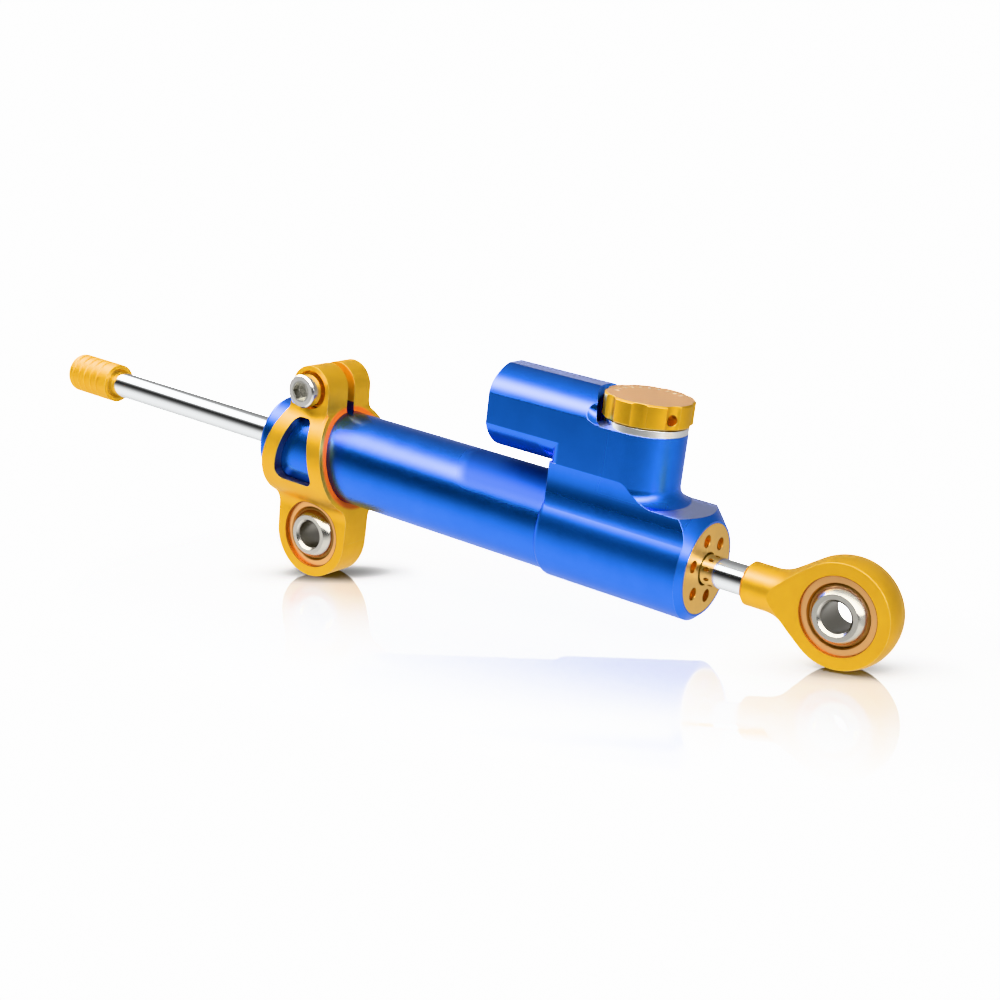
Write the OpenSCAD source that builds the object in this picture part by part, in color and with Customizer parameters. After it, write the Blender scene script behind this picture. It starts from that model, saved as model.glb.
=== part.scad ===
// Linear steering damper for a motorcycle: through-rod cylinder, reservoir with adjuster knob,
// rod end with a spherical bearing, and a pinch clamp whose lug carries the second bearing.
// Origin: centre of the rod end's bearing bore. +X runs along the barrel towards the rod end,
// +Z points to the adjuster knob and the lug hangs down on -Z.

/* [Layout along the rod] */
// Centre of the rod-end eye to the end of its neck
rod_end_reach = 26.2; // [24:0.1:32]
// Bare rod between the neck and the front gland at rest
front_gap = 12; // [6:0.5:30]
// Length of the head housing
head_len = 44.6; // [42:0.1:52]
// Length of the barrel tube seen behind the head
barrel_len = 99.6; // [88:0.1:140]
// Bare rod behind the barrel at rest
rear_gap = 75.7; // [74:0.5:100]
// Head nose face to the boss axis
boss_from_nose = 23.1; // [21:0.1:26]
// Rear end of the barrel to the clamp's centre plane
clamp_from_rear = 15.8; // [14:0.1:40]
// Reservoir length standing out behind the head
reservoir_overhang = 20.8; // [14:0.1:30]

/* [Rod and piston] */
// Rod diameter
rod_d = 8; // [7:0.1:9]
// Depth of the rod in the rod end's neck
rod_in_neck = 11; // [8:0.5:12]
// Depth of the rod in the rear sleeve
rod_in_sleeve = 15; // [10:0.5:17]
// Piston length
piston_len = 12; // [9:0.5:16]
// Piston centre to the rear face of the barrel at rest
piston_from_rear = 42.4; // [39:0.1:46]
// Width of the piston ring
piston_ring_w = 3; // [2:0.1:4]
// Thickness of the piston's snap rings
snap_t = 1; // [0.8:0.1:1.4]

/* [Barrel and liner] */
// Barrel outer diameter
barrel_d = 26.6; // [25.8:0.1:27.4]
// Barrel bore
barrel_bore_d = 20.4; // [20:0.1:20.8]
// Thickness of the barrel's closed rear wall
rear_wall = 14; // [13:0.5:18]
// Edge rounding at the barrel's rear end
barrel_edge = 1.4; // [0.6:0.1:2]
// Length of the threaded spigot inside the head
spigot_len = 14; // [8:0.5:15]
// Liner inner diameter, the bore the piston runs in
liner_bore_d = 17.4; // [17:0.1:17.8]
// Liner wall
liner_wall = 0.8; // [0.7:0.1:1]
// Width of the liner's sealing collar under the adjuster
collar_w = 4; // [3:0.1:4]
// Distance between the two oil ports under the rotary valve
port_pitch = 6.4; // [6.4:0.1:6.6]

/* [Head housing] */
// Diameter of the head's round lower half
head_d = 28.6; // [28:0.1:30]
// Diameter of the bore right through the head
head_bore_d = 24.3; // [23.8:0.1:24.6]
// Height of the milled top flat above the barrel axis
top_flat_z = 14; // [13.2:0.1:14.2]
// Width over the head's side flats, also the boss diameter
block_w = 22.2; // [21.4:0.1:23]
// Height where the block's side flats begin, over a hollow flank
hollow_top_z = 19.2; // [18.6:0.1:20]
// Radius of that hollow flank
hollow_r = 15; // [13:0.5:20]
// Radius of the nose rim round the gland
nose_rim_r = 12.65; // [12.5:0.05:13]
// Rounding of the head's rear edge
head_edge = 1.5; // [0.5:0.1:2]
// Rounding of the block's upright rear edges
block_edge = 3; // [1:0.5:5]
// Height of the boss face above the barrel axis
boss_top_z = 32; // [31:0.1:33]
// Fillet at the foot of the boss
boss_fillet = 4; // [2:0.5:5]

/* [Reservoir] */
// Reservoir outer diameter
reservoir_d = 23.7; // [23.4:0.1:24.4]
// Reservoir axis above the barrel axis
reservoir_z = 29; // [28.5:0.1:29.6]
// Reservoir bore
reservoir_bore_d = 18; // [16:0.1:19]
// Height of the reservoir's top flat above the barrel axis
reservoir_flat_z = 40.5; // [39.8:0.1:40.7]
// Depth of the reservoir bore beyond the head's rear face
reservoir_bore_in = 11; // [8:0.5:11.5]
// Thickness of the reservoir plug
plug_t = 5; // [4:0.5:6]
// Thickness of the circlip behind the plug
circlip_t = 1; // [0.8:0.1:1.2]
// Length of the floating piston
floater_len = 8; // [6:0.5:10]
// Gap from the plug to the floating piston at rest
floater_gap = 8; // [5:0.5:10]

/* [Adjuster] */
// Knob diameter
knob_d = 23.6; // [22.8:0.1:24]
// Knob height
knob_h = 6.25; // [5.8:0.05:7]
// Gap between knob and index ring
knob_gap = 0.4; // [0.3:0.05:0.8]
// Number of scallops round the knob
scallops = 8; // [6:1:10]
// Width of each scallop across its corners
scallop_w = 4.2; // [3:0.1:4.6]
// Depth of each scallop under the rim circle
scallop_depth = 0.75; // [0.5:0.05:0.9]
// Direction of the set screw from +X
set_screw_angle = -28; // [-40:1:-10]
// Index ring diameter
index_d = 22.1; // [21:0.1:22.4]
// Index ring thickness
index_t = 1.8; // [1.6:0.1:2.4]
// Stem diameter of the adjuster spindle
stem_d = 6; // [5:0.1:6.6]
// Diameter of the rotary valve at the spindle's foot
valve_d = 9; // [8.4:0.1:9.6]
// Thread diameter of the spindle gland
gland_nut_d = 13.8; // [12.4:0.1:14.2]
// Number of click dimples in the index ring
clicks = 18; // [12:1:20]
// Dimple circle inside the index ring's edge
click_in = 1.65; // [1.5:0.05:1.9]
// Free space round the knob in its pocket
pocket_gap = 1.5; // [1:0.1:2]
// Thread diameter of the knob's set screw
set_screw_d = 3; // [2.5:0.5:3]
// Diameter of the click ball
detent_d = 1.5; // [1.3:0.1:1.6]
// Thread length of the spindle gland in the boss
nut_depth = 6; // [5:0.5:7]
// Height of the rotary valve's floor above the barrel axis
valve_floor_z = 17; // [16.5:0.1:18]

/* [Glands, bushes and seals] */
// Diameter of the front gland cap
gland_d = 24.2; // [23.7:0.1:24.4]
// Length of the front gland cap without its nose
gland_len = 16; // [15:0.5:20]
// Pin-spanner holes in the gland cap
spanner_holes = 6; // [4:1:6]
// Diameter of the pin-spanner holes
spanner_hole_d = 3.4; // [2.6:0.1:3.4]
// Pitch circle of the pin-spanner holes
spanner_pcd = 16; // [15.4:0.1:18]
// Outer diameter of the rod bushes and seals
bush_d = 12; // [11:0.1:12]
// Length of each rod bush
bush_len = 6; // [5:0.5:7]
// Length of each rod seal
seal_len = 4.5; // [4:0.5:5]
// Cord diameter of the O-rings
oring_cord = 1.3; // [1:0.1:1.4]

/* [Rod end and its bearing] */
// Diameter of the rod end's neck
neck_d = 11.5; // [10.8:0.05:12]
// Radius of the turned eye
eye_r = 14.2; // [13.6:0.1:15]
// Thickness over the eye's flats
eye_t = 9.4; // [9:0.1:10.4]
// Slope of the flare from neck to eye, in degrees
flare_angle = 35; // [28:1:42]
// Fillet radius between neck and flare
flare_fillet = 10; // [5:0.5:14]
// Wall of the race outside the middle of its ball
race_wall = 1.4; // [1.2:0.05:1.7]
// Bearing race width
race_w = 8.2; // [7.6:0.1:9]
// Ball diameter
ball_d = 17.2; // [16.8:0.1:17.6]
// Ball width between its faces
ball_w = 12.4; // [12:0.1:13]
// Bore of the ball
ball_bore_d = 8; // [6:0.1:9]

/* [Clamp] */
// Wall of the clamp ring round the barrel
clamp_wall = 3; // [2.6:0.1:4]
// Height of the pinch bolt above the barrel axis
bolt_z = 19.6; // [19.4:0.1:22]
// Radius of the ears round the pinch bolt
ear_r = 7; // [6.6:0.1:7.6]
// Front ear face from the centre plane
ear_front_y = 10; // [9:0.1:11]
// Rear ear face from the centre plane
ear_rear_y = 8.6; // [7.6:0.1:9.6]
// Width of the clamp's slot
slot_w = 3; // [2:0.1:3.4]
// Lug bearing below the barrel axis
lug_drop = 25.7; // [25.2:0.1:28]
// Radius of the lug
lug_r = 13; // [12.6:0.1:13.6]
// Thickness of the lug
lug_t = 10; // [9.6:0.1:11]
// Radius of the clamp's flanks seen from the side
flank_r = 100; // [90:1:110]
// Angle below the lug's level line at which the flanks leave the lug
flank_turn = 3.5; // [3:0.1:4.5]
// Rim left round each window
window_rim = 4.9; // [4:0.1:6]
// Lower edge of the windows from the barrel axis
window_low = -7.8; // [-9:0.1:-6]
// Upper edge of the windows from the barrel axis
window_high = 11.4; // [9:0.1:12]
// Corner radius of the windows
window_corner = 2.6; // [1:0.1:3]
// Fillet between the ears and the flanks
ear_flank_fillet = 6; // [4:0.5:8]
// Flare at the foot of the front ear
ear_front_flare = 8; // [5:0.5:9]
// Flare at the foot of the rear ear
ear_rear_flare = 5; // [3:0.5:6]
// Flare between the ring and the lug
lug_shoulder = 6; // [4:0.5:7]

/* [Pinch bolt] */
// Thread diameter
bolt_d = 6; // [5:0.5:6]
// Head diameter
bolt_head_d = 9.7; // [9:0.1:10]
// Head height
bolt_head_h = 3.4; // [3:0.1:5]
// Hexagon socket across its flats
bolt_hex = 5; // [4:0.5:5]
// Collar washer diameter
washer_d = 9.4; // [8.8:0.1:9.8]
// Collar washer thickness
washer_t = 3.6; // [2:0.1:4]
// Counterbore diameter in the front ear
cbore_d = 11.2; // [10.6:0.1:11.8]
// Counterbore depth
cbore_depth = 2.6; // [1.5:0.1:4]

/* [Rear sleeve] */
// Sleeve diameter
sleeve_d = 12.3; // [11.2:0.1:12.6]
// Sleeve length
sleeve_len = 18.4; // [18:0.1:24]
// Number of grooves round the sleeve
sleeve_grooves = 5; // [3:1:6]

/* [Hidden] */
$fn = 96;

// Colours
BLUE = [0.07, 0.27, 0.82];
GOLD = [0.93, 0.68, 0.15];
STEEL = [0.80, 0.81, 0.82];
BRONZE = [0.88, 0.58, 0.30];
SEAL = [0.10, 0.10, 0.11];
PALE = [0.88, 0.90, 0.92];

// Clearances
run_fit = 0.05;
seat_fit = 0.02;
overlap = 0.01;
ball_fit = 0.06;

// Stations along X
neck_x = -rod_end_reach;
nose_x = neck_x - front_gap;
head_x = nose_x - head_len;
barrel_x = head_x - barrel_len;
sleeve_x1 = barrel_x - rear_gap;
sleeve_x0 = sleeve_x1 - sleeve_len;
boss_x = nose_x - boss_from_nose;
clamp_x = barrel_x + clamp_from_rear;
reservoir_x = head_x - reservoir_overhang;
piston_x = barrel_x + piston_from_rear;
rear_inner_x = barrel_x + rear_wall;
gland_inner_x = nose_x - gland_len;
liner_nose = 2;
liner_step = 0.02;
seal_station = 3;
spigot_seal_x = head_x + spigot_len - seal_station;
gland_seal_x = gland_inner_x + seal_station;
circlip_x = reservoir_x + 1.6;
plug_x = circlip_x + circlip_t / 2 + seat_fit;
floater_x = plug_x + plug_t + floater_gap;

// Stations of the adjuster along Z and of the pinch bolt along Y
knob_z = boss_top_z + index_t + knob_gap;
stem_top_z = knob_z + knob_h - 1.6;
set_screw_z = knob_z + knob_h * 0.4;
detent_depth = 3.4;
detent_ball_z = knob_z - 0.25 + detent_d / 2;
washer_y = -ear_front_y + cbore_depth - washer_t;

// Radii
rod_r = rod_d / 2;
barrel_r = barrel_d / 2;
liner_r = liner_bore_d / 2;
liner_out_r = liner_r + liner_wall;
spigot_r = head_bore_d / 2 - seat_fit;
block_half = block_w / 2;
race_d = ball_d + 2 * race_wall;
boss_r = block_half;
oring_r = oring_cord / 2;
groove_w = oring_cord + 0.4;
wiper_wall = 3;
gland_wall = 4.5;
rod_hole_r = rod_r + 0.45;
clamp_bore_r = barrel_r + run_fit;
ring_r = barrel_r + clamp_wall;
circlip_grip = 0.7;
snap_depth = 0.6;
stem_flat = 0.6;
click_r = index_d / 2 - click_in;
flange_t = 1;
flange_r = gland_nut_d / 2 + 0.8;

// Centre of the head's hollow flank, [y, z] on the +Y side: its circle runs into the round body
// below and ends at the foot of the side flat above
hollow_reach = head_d / 2 + hollow_r - 2 * overlap;
hollow_span = norm([block_half, hollow_top_z]);
hollow_in = (pow(hollow_reach, 2) + pow(hollow_span, 2) - pow(hollow_r, 2)) / (2 * hollow_span);
hollow_out = sqrt(pow(hollow_reach, 2) - pow(hollow_in, 2));
hollow_c = [
    (hollow_in * block_half + hollow_out * hollow_top_z) / hollow_span,
    (hollow_in * hollow_top_z - hollow_out * block_half) / hollow_span
];
saddle_half = hollow_c[0] * head_d / 2 / hollow_reach;

// Centre of the clamp's left flank, [x, z] about its centre plane
flank_c = [-(flank_r - lug_r) * cos(flank_turn), -lug_drop + (flank_r - lug_r) * sin(flank_turn)];

// A turned solid about the X axis from a profile of [radius, x]
module on_x() {
    rotate([0, 90, 0])
        rotate_extrude()
            children();
}

// A plain or hollow cylinder about the X axis
module tube_x(x0, x1, r_out, r_in = 0) {
    on_x()
        translate([r_in, x0])
            square([r_out - r_in, x1 - x0]);
}

// Round O-ring about the X axis, seated between a groove floor and a bore of radius r
module oring_x(x, r) {
    on_x()
        translate([r - oring_r - seat_fit, x])
            circle(r = oring_r, $fn = 32);
}

// Groove for an O-ring on the outside of a piece that fits a bore of radius r
module groove_x(x, r) {
    tube_x(x - groove_w / 2, x + groove_w / 2, r + 1, r - oring_cord - 2 * seat_fit);
}

// Cylinder along Y from y0 to y1
module rod_y(y0, y1, r) {
    translate([0, y1, 0])
        rotate([90, 0, 0])
            cylinder(h = y1 - y0, r = r);
}

// Concave fillet of radius rf between the wall x = wall and a circle (centre c, radius r),
// on the side of larger x and above the centre; it reaches a little into both
module wall_fillet(wall, c, r, rf) {
    bite = 0.4;
    fx = wall + rf;
    fy = c[1] + sqrt(pow(r + rf, 2) - pow(fx - c[0], 2));
    inner = r - bite;
    touch = [c[0] + (fx - c[0]) * inner / (r + rf), c[1] + (fy - c[1]) * inner / (r + rf)];
    difference() {
        polygon([[wall - bite, fy], [fx, fy], touch, [wall - bite, touch[1]]]);
        translate([fx, fy])
            circle(r = rf);
    }
}

// Extrudes an outline in [x, z] along Y, from y0 to y1
module slab_y(y0, y1) {
    translate([0, y1, 0])
        rotate([90, 0, 0])
            linear_extrude(height = y1 - y0)
                children();
}

// Extrudes an outline in [y, z] along X, from x0 to x1
module slab_x(x0, x1) {
    translate([x0, 0, 0])
        rotate([90, 0, 90])
            linear_extrude(height = x1 - x0)
                children();
}

// Spherical bearing race about Y at the origin, its faces dished towards the ball
module race_shape() {
    rim = 1.7;
    dish = 1.2;
    inner = sqrt(pow(ball_d / 2 + ball_fit, 2) - pow(race_w / 2 - dish, 2)) - 0.3;
    rotate([90, 0, 0])
        rotate_extrude()
            difference() {
                polygon([
                    [inner, dish - race_w / 2], [race_d / 2 - rim, -race_w / 2], [race_d / 2, -race_w / 2],
                    [race_d / 2, race_w / 2], [race_d / 2 - rim, race_w / 2], [inner, race_w / 2 - dish]
                ]);
                circle(r = ball_d / 2 + ball_fit);
            }
}

// Spherical bearing ball about Y at the origin, bored through with a chamfer at each mouth
module ball_shape() {
    mouth = 0.7;
    bore_r = ball_bore_d / 2;
    rotate([90, 0, 0])
        rotate_extrude()
            difference() {
                intersection() {
                    circle(r = ball_d / 2);
                    translate([0, -ball_w / 2])
                        square([ball_d, ball_w]);
                }
                translate([-ball_d, -ball_d])
                    square([ball_d + bore_r, 2 * ball_d]);
                for (side = [-1, 1])
                    translate([0, side * ball_w / 2])
                        polygon([[0, -mouth], [bore_r, -mouth], [bore_r + mouth, 0], [bore_r + mouth, 1],
                            [0, 1], [0, -mouth]]);
            }
}

// Barrel with its closed rear wall, seal recess and threaded spigot
module barrel_tube() {
    color(BLUE)
    difference() {
        union() {
            on_x()
                difference() {
                    translate([0, barrel_x])
                        square([barrel_r, barrel_len]);
                    difference() {
                        translate([barrel_r - barrel_edge, barrel_x - overlap])
                            square([barrel_edge + overlap, barrel_edge + overlap]);
                        translate([barrel_r - barrel_edge, barrel_x + barrel_edge])
                            circle(r = barrel_edge);
                    }
                }
            tube_x(head_x - overlap, head_x + spigot_len, spigot_r);
        }
        tube_x(rear_inner_x + liner_nose, head_x + spigot_len + 1, barrel_bore_d / 2);
        tube_x(rear_inner_x, rear_inner_x + liner_nose + overlap, barrel_bore_d / 2, liner_r - seat_fit);
        tube_x(barrel_x - 1, head_x, rod_hole_r);
        tube_x(barrel_x + wiper_wall, head_x, bush_d / 2 + seat_fit);
        groove_x(spigot_seal_x, head_bore_d / 2);
    }
}

// Inner liner with transfer holes at both ends and a sealing collar under the adjuster
module liner_tube() {
    color(STEEL)
    difference() {
        union() {
            tube_x(rear_inner_x + liner_step, gland_inner_x - liner_step, liner_out_r);
            tube_x(boss_x - collar_w / 2, boss_x + collar_w / 2, head_bore_d / 2 - run_fit);
        }
        tube_x(rear_inner_x - 1, gland_inner_x + 1, liner_r);
        groove_x(boss_x, head_bore_d / 2);
        for (x = [rear_inner_x + liner_nose + 3, gland_inner_x - liner_nose - 2.2], a = [45:90:315])
            translate([x, 0, 0])
                rotate([a, 0, 0])
                    cylinder(h = liner_out_r + 1, r = 1, $fn = 24);
    }
}

module liner_oring() {
    color(SEAL)
        oring_x(boss_x, head_bore_d / 2);
}

module spigot_oring() {
    color(SEAL)
        oring_x(spigot_seal_x, head_bore_d / 2);
}

// Rod bush: plain sleeve whose bore carries the rod
module bush(x0) {
    color(BRONZE)
        tube_x(x0, x0 + bush_len, bush_d / 2, rod_r + run_fit);
}

// Lip seal: outer ring with an angled lip towards the oil side, dir = 1 or -1
module rod_seal(x0, dir) {
    lip = 1.2;
    wall = 1.1;
    color(SEAL)
    on_x()
        translate([0, x0 + seal_len / 2])
            scale([1, dir])
                polygon([
                    [rod_r + run_fit, -seal_len / 2], [bush_d / 2, -seal_len / 2],
                    [bush_d / 2, seal_len / 2], [bush_d / 2 - wall, seal_len / 2],
                    [rod_r + lip, 0], [rod_r + run_fit + 0.4, seal_len / 2],
                    [rod_r + run_fit, seal_len / 2]
                ]);
}

module rear_bush() {
    bush(barrel_x + wiper_wall + seal_len + seat_fit);
}

module rear_rod_seal() {
    rod_seal(barrel_x + wiper_wall, 1);
}

module front_bush() {
    bush(nose_x - gland_wall - seal_len - bush_len - seat_fit);
}

module front_rod_seal() {
    rod_seal(nose_x - gland_wall - seal_len, -1);
}

// Plan of the block behind a station, seen from above, with rounded rear corners
module web_plan(half, end_x) {
    translate([head_x + block_edge, -half])
        square([end_x - head_x - block_edge, 2 * half]);
    translate([head_x, block_edge - half])
        square([block_edge + overlap, 2 * (half - block_edge)]);
    for (side = [-1, 1])
        translate([head_x + block_edge, side * (half - block_edge)])
            circle(r = block_edge);
}

// Hollow flank on each side, from the round body up to the block's side flats
module flank_hollows() {
    for (side = [-1, 1])
        translate([head_x - 1, side * hollow_c[0], hollow_c[1]])
            rotate([0, 90, 0])
                cylinder(h = head_len + 2, r = hollow_r);
}

// Turned body of the head, with its rounded rear edge
module round_body() {
    on_x()
        difference() {
            translate([0, head_x])
                square([head_d / 2, head_len]);
            difference() {
                translate([head_d / 2 - head_edge, head_x - overlap])
                    square([head_edge + overlap, head_edge + overlap]);
                translate([head_d / 2 - head_edge, head_x + head_edge])
                    circle(r = head_edge);
            }
        }
}

// Nose cone that trims the head's front end
module nose_trim() {
    nose_cone = head_d;
    on_x()
        polygon([
            [0, head_x - 1], [nose_rim_r + nose_cone, head_x - 1],
            [nose_rim_r + nose_cone, nose_x - nose_cone], [nose_rim_r, nose_x], [0, nose_x]
        ]);
}

// Front half of the boss with the fillet at its foot, trimmed to the head's side flats
module boss_front() {
    reach = boss_r + boss_fillet;
    foot_top = top_flat_z + boss_fillet;
    intersection() {
        translate([boss_x, 0, 0])
            rotate_extrude() {
                square([boss_r, boss_top_z]);
                difference() {
                    square([reach, foot_top]);
                    translate([reach, foot_top])
                        circle(r = boss_fillet);
                }
            }
        translate([boss_x, -block_half, 0])
            cube([reach, block_w, boss_top_z]);
    }
}

// Pocket that lets the knob turn beside the reservoir
module knob_pocket() {
    translate([boss_x, 0, boss_top_z])
        cylinder(h = knob_h + index_t + 10, r = knob_d / 2 + pocket_gap);
}

// Scoop on each side of the reservoir, where a finger reaches the knob's rim
module finger_scoops() {
    scoop_r = 5;
    scoop_depth = 1.75;
    scoop_reach = 8.2;
    scoop_turn = 58.5;
    for (side = [-1, 1])
        translate([boss_x - scoop_reach, 0, reservoir_z])
            rotate([side * scoop_turn, 0, 0])
                translate([0, 0, reservoir_d / 2 + scoop_r - scoop_depth]) {
                    sphere(r = scoop_r);
                    rotate([0, 90, 0])
                        cylinder(h = scoop_reach, r = scoop_r);
                }
}

// Machined head: round body, hollow flanks, boss, reservoir, with its bores and oil ports
module head_housing() {
    port_r = 1.1;
    color(BLUE)
    difference() {
        union() {
            difference() {
                intersection() {
                    round_body();
                    nose_trim();
                }
                translate([boss_x, -head_d, top_flat_z])
                    cube([head_len, 2 * head_d, head_d]);
            }
            difference() {
                union() {
                    intersection() {
                        linear_extrude(height = top_flat_z)
                            web_plan(saddle_half, nose_x);
                        nose_trim();
                    }
                    linear_extrude(height = hollow_top_z)
                        web_plan(saddle_half, boss_x);
                    linear_extrude(height = boss_top_z)
                        web_plan(block_half, boss_x);
                    boss_front();
                }
                flank_hollows();
            }
            reservoir_body();
        }
        tube_x(head_x - 1, nose_x + 1, head_bore_d / 2);
        translate([0, 0, reservoir_z]) {
            tube_x(reservoir_x - 1, head_x + reservoir_bore_in, reservoir_bore_d / 2);
            tube_x(circlip_x - circlip_t / 2 - 0.1, circlip_x + circlip_t / 2 + 0.1,
                reservoir_bore_d / 2 + circlip_grip);
        }
        knob_pocket();
        finger_scoops();
        translate([boss_x, 0, valve_floor_z])
            cylinder(h = boss_top_z, r = valve_d / 2 + run_fit);
        translate([boss_x, 0, boss_top_z - nut_depth])
            cylinder(h = nut_depth + 1, r = gland_nut_d / 2 + seat_fit);
        for (side = [-1, 1])
            translate([boss_x + side * port_pitch / 2, 0, 0])
                cylinder(h = valve_floor_z + 1, r = port_r, $fn = 32);
        translate([0, 0, reservoir_z - reservoir_bore_d / 2 + 2 * port_r])
            tube_x(head_x, boss_x, port_r);
    }
}

// Reservoir barrel with flat top and flat sides, ending at the knob pocket
module reservoir_body() {
    intersection() {
        translate([0, 0, reservoir_z])
            tube_x(reservoir_x, boss_x, reservoir_d / 2);
        translate([reservoir_x, -block_half, 0])
            cube([boss_x - reservoir_x, block_w, reservoir_flat_z]);
    }
}

// Front gland cap with its spanner holes, seal recess and liner nose
module gland_cap() {
    hole_depth = 3.4;
    color(GOLD)
    difference() {
        union() {
            tube_x(gland_inner_x, nose_x, gland_d / 2);
            tube_x(gland_inner_x - liner_nose, gland_inner_x + overlap, liner_r - seat_fit);
        }
        tube_x(gland_inner_x - liner_nose - 1, nose_x + 1, rod_hole_r);
        tube_x(gland_inner_x - liner_nose - 1, nose_x - gland_wall, bush_d / 2 + seat_fit);
        groove_x(gland_seal_x, head_bore_d / 2);
        for (i = [0:spanner_holes - 1])
            rotate([14 + i * 360 / spanner_holes, 0, 0])
                translate([nose_x - hole_depth, 0, spanner_pcd / 2])
                    rotate([0, 90, 0])
                        cylinder(h = hole_depth + 1, r = spanner_hole_d / 2, $fn = 32);
    }
}

module gland_oring() {
    color(SEAL)
        oring_x(gland_seal_x, head_bore_d / 2);
}

// Reservoir end plug with the tapped hole that draws it out
module reservoir_plug() {
    tap_r = 1.7;
    color(GOLD)
    translate([0, 0, reservoir_z])
        difference() {
            tube_x(plug_x, plug_x + plug_t, reservoir_bore_d / 2 - run_fit);
            groove_x(plug_x + plug_t / 2, reservoir_bore_d / 2);
            tube_x(plug_x - 1, plug_x + plug_t - 1.5, tap_r);
        }
}

module plug_oring() {
    color(SEAL)
    translate([0, 0, reservoir_z])
        oring_x(plug_x + plug_t / 2, reservoir_bore_d / 2);
}

module plug_circlip() {
    gap_angle = 40;
    color(STEEL)
    translate([circlip_x - circlip_t / 2, 0, reservoir_z])
        rotate([gap_angle / 2, 0, 0])
            rotate([0, 90, 0])
                rotate_extrude(angle = 360 - gap_angle)
                    translate([reservoir_bore_d / 2 - 1.2, 0])
                        square([1.2 + circlip_grip - seat_fit, circlip_t]);
}

// Floating piston that parts the oil from the air cushion
module floating_piston() {
    cup = 3.5;
    color(STEEL)
    translate([0, 0, reservoir_z])
        difference() {
            tube_x(floater_x, floater_x + floater_len, reservoir_bore_d / 2 - run_fit);
            groove_x(floater_x + floater_len / 2, reservoir_bore_d / 2);
            tube_x(floater_x - 1, floater_x + cup, reservoir_bore_d / 2 - 3);
        }
}

module floater_oring() {
    color(SEAL)
    translate([0, 0, reservoir_z])
        oring_x(floater_x + floater_len / 2, reservoir_bore_d / 2);
}

// Snap-ring slots on both sides of the piston, each side wider by extra
module snap_slots(extra) {
    for (side = [-1, 1])
        tube_x(piston_x + side * (piston_len + snap_t) / 2 - snap_t / 2 - extra,
            piston_x + side * (piston_len + snap_t) / 2 + snap_t / 2 + extra,
            rod_r + 1, rod_r - snap_depth);
}

// Hard-chromed through rod with the piston's two snap-ring slots
module piston_rod() {
    tip = 0.6;
    x0 = sleeve_x1 - rod_in_sleeve;
    x1 = neck_x + rod_in_neck;
    color(STEEL)
    difference() {
        on_x()
            polygon([
                [0, x0], [rod_r - tip, x0], [rod_r, x0 + tip],
                [rod_r, x1 - tip], [rod_r - tip, x1], [0, x1]
            ]);
        snap_slots(seat_fit);
    }
}

module piston() {
    ring_depth = 1.4;
    color(STEEL)
    difference() {
        tube_x(piston_x - piston_len / 2 + seat_fit, piston_x + piston_len / 2 - seat_fit,
            liner_r - run_fit, rod_r + seat_fit);
        tube_x(piston_x - piston_ring_w / 2 - run_fit, piston_x + piston_ring_w / 2 + run_fit,
            liner_r + 1, liner_r - ring_depth);
    }
}

module piston_ring() {
    color(PALE)
        tube_x(piston_x - piston_ring_w / 2, piston_x + piston_ring_w / 2,
            liner_r - 0.03, liner_r - 1.3);
}

module piston_clips() {
    gap_angle = 60;
    snap_w = 1.7;
    color(STEEL)
    for (side = [-1, 1])
        translate([piston_x + side * (piston_len + snap_t) / 2 - snap_t / 2, 0, 0])
            rotate([0, 90, 0])
                rotate_extrude(angle = 360 - gap_angle)
                    translate([rod_r - snap_depth + seat_fit, 0])
                        square([snap_w, snap_t]);
}

// Rod end: turned neck, flare and eye, with a flat milled on each side
module rod_end() {
    neck_r = neck_d / 2;
    slope = tan(flare_angle);
    tangent = [eye_r * cos(flare_angle), -eye_r * sin(flare_angle)];
    flare_x = tangent[1] - (tangent[0] - neck_r) / slope;
    fillet_run = flare_fillet * tan(flare_angle / 2);
    flat_runout = 20;
    flat_lead = 4.9;
    flat_x = flare_x + flat_lead;
    chamfer = 0.8;
    color(GOLD)
    difference() {
        on_x()
            difference() {
                union() {
                    intersection() {
                        circle(r = eye_r);
                        translate([0, -eye_r])
                            square([eye_r, 2 * eye_r]);
                    }
                    polygon([
                        [0, neck_x], [neck_r - chamfer, neck_x], [neck_r, neck_x + chamfer],
                        [neck_r, flare_x - fillet_run],
                        [neck_r + fillet_run * sin(flare_angle), flare_x + fillet_run * cos(flare_angle)],
                        tangent, [0, 0]
                    ]);
                }
                translate([neck_r + flare_fillet, flare_x - fillet_run])
                    circle(r = flare_fillet - overlap);
            }
        for (side = [-1, 1])
            scale([1, side, 1]) {
                translate([flat_x, eye_t / 2 + flat_runout, 0])
                    cylinder(h = 3 * eye_r, r = flat_runout, center = true);
                translate([flat_x, eye_t / 2, -1.5 * eye_r])
                    cube([2 * eye_r - flat_x, eye_r, 3 * eye_r]);
            }
        rod_y(-eye_r, eye_r, race_d / 2 + seat_fit);
        tube_x(neck_x - 1, neck_x + rod_in_neck + 0.5, rod_r + seat_fit);
    }
}

module rod_end_race() {
    color(BRONZE)
        race_shape();
}

module rod_end_ball() {
    color(STEEL)
        ball_shape();
}

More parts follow.
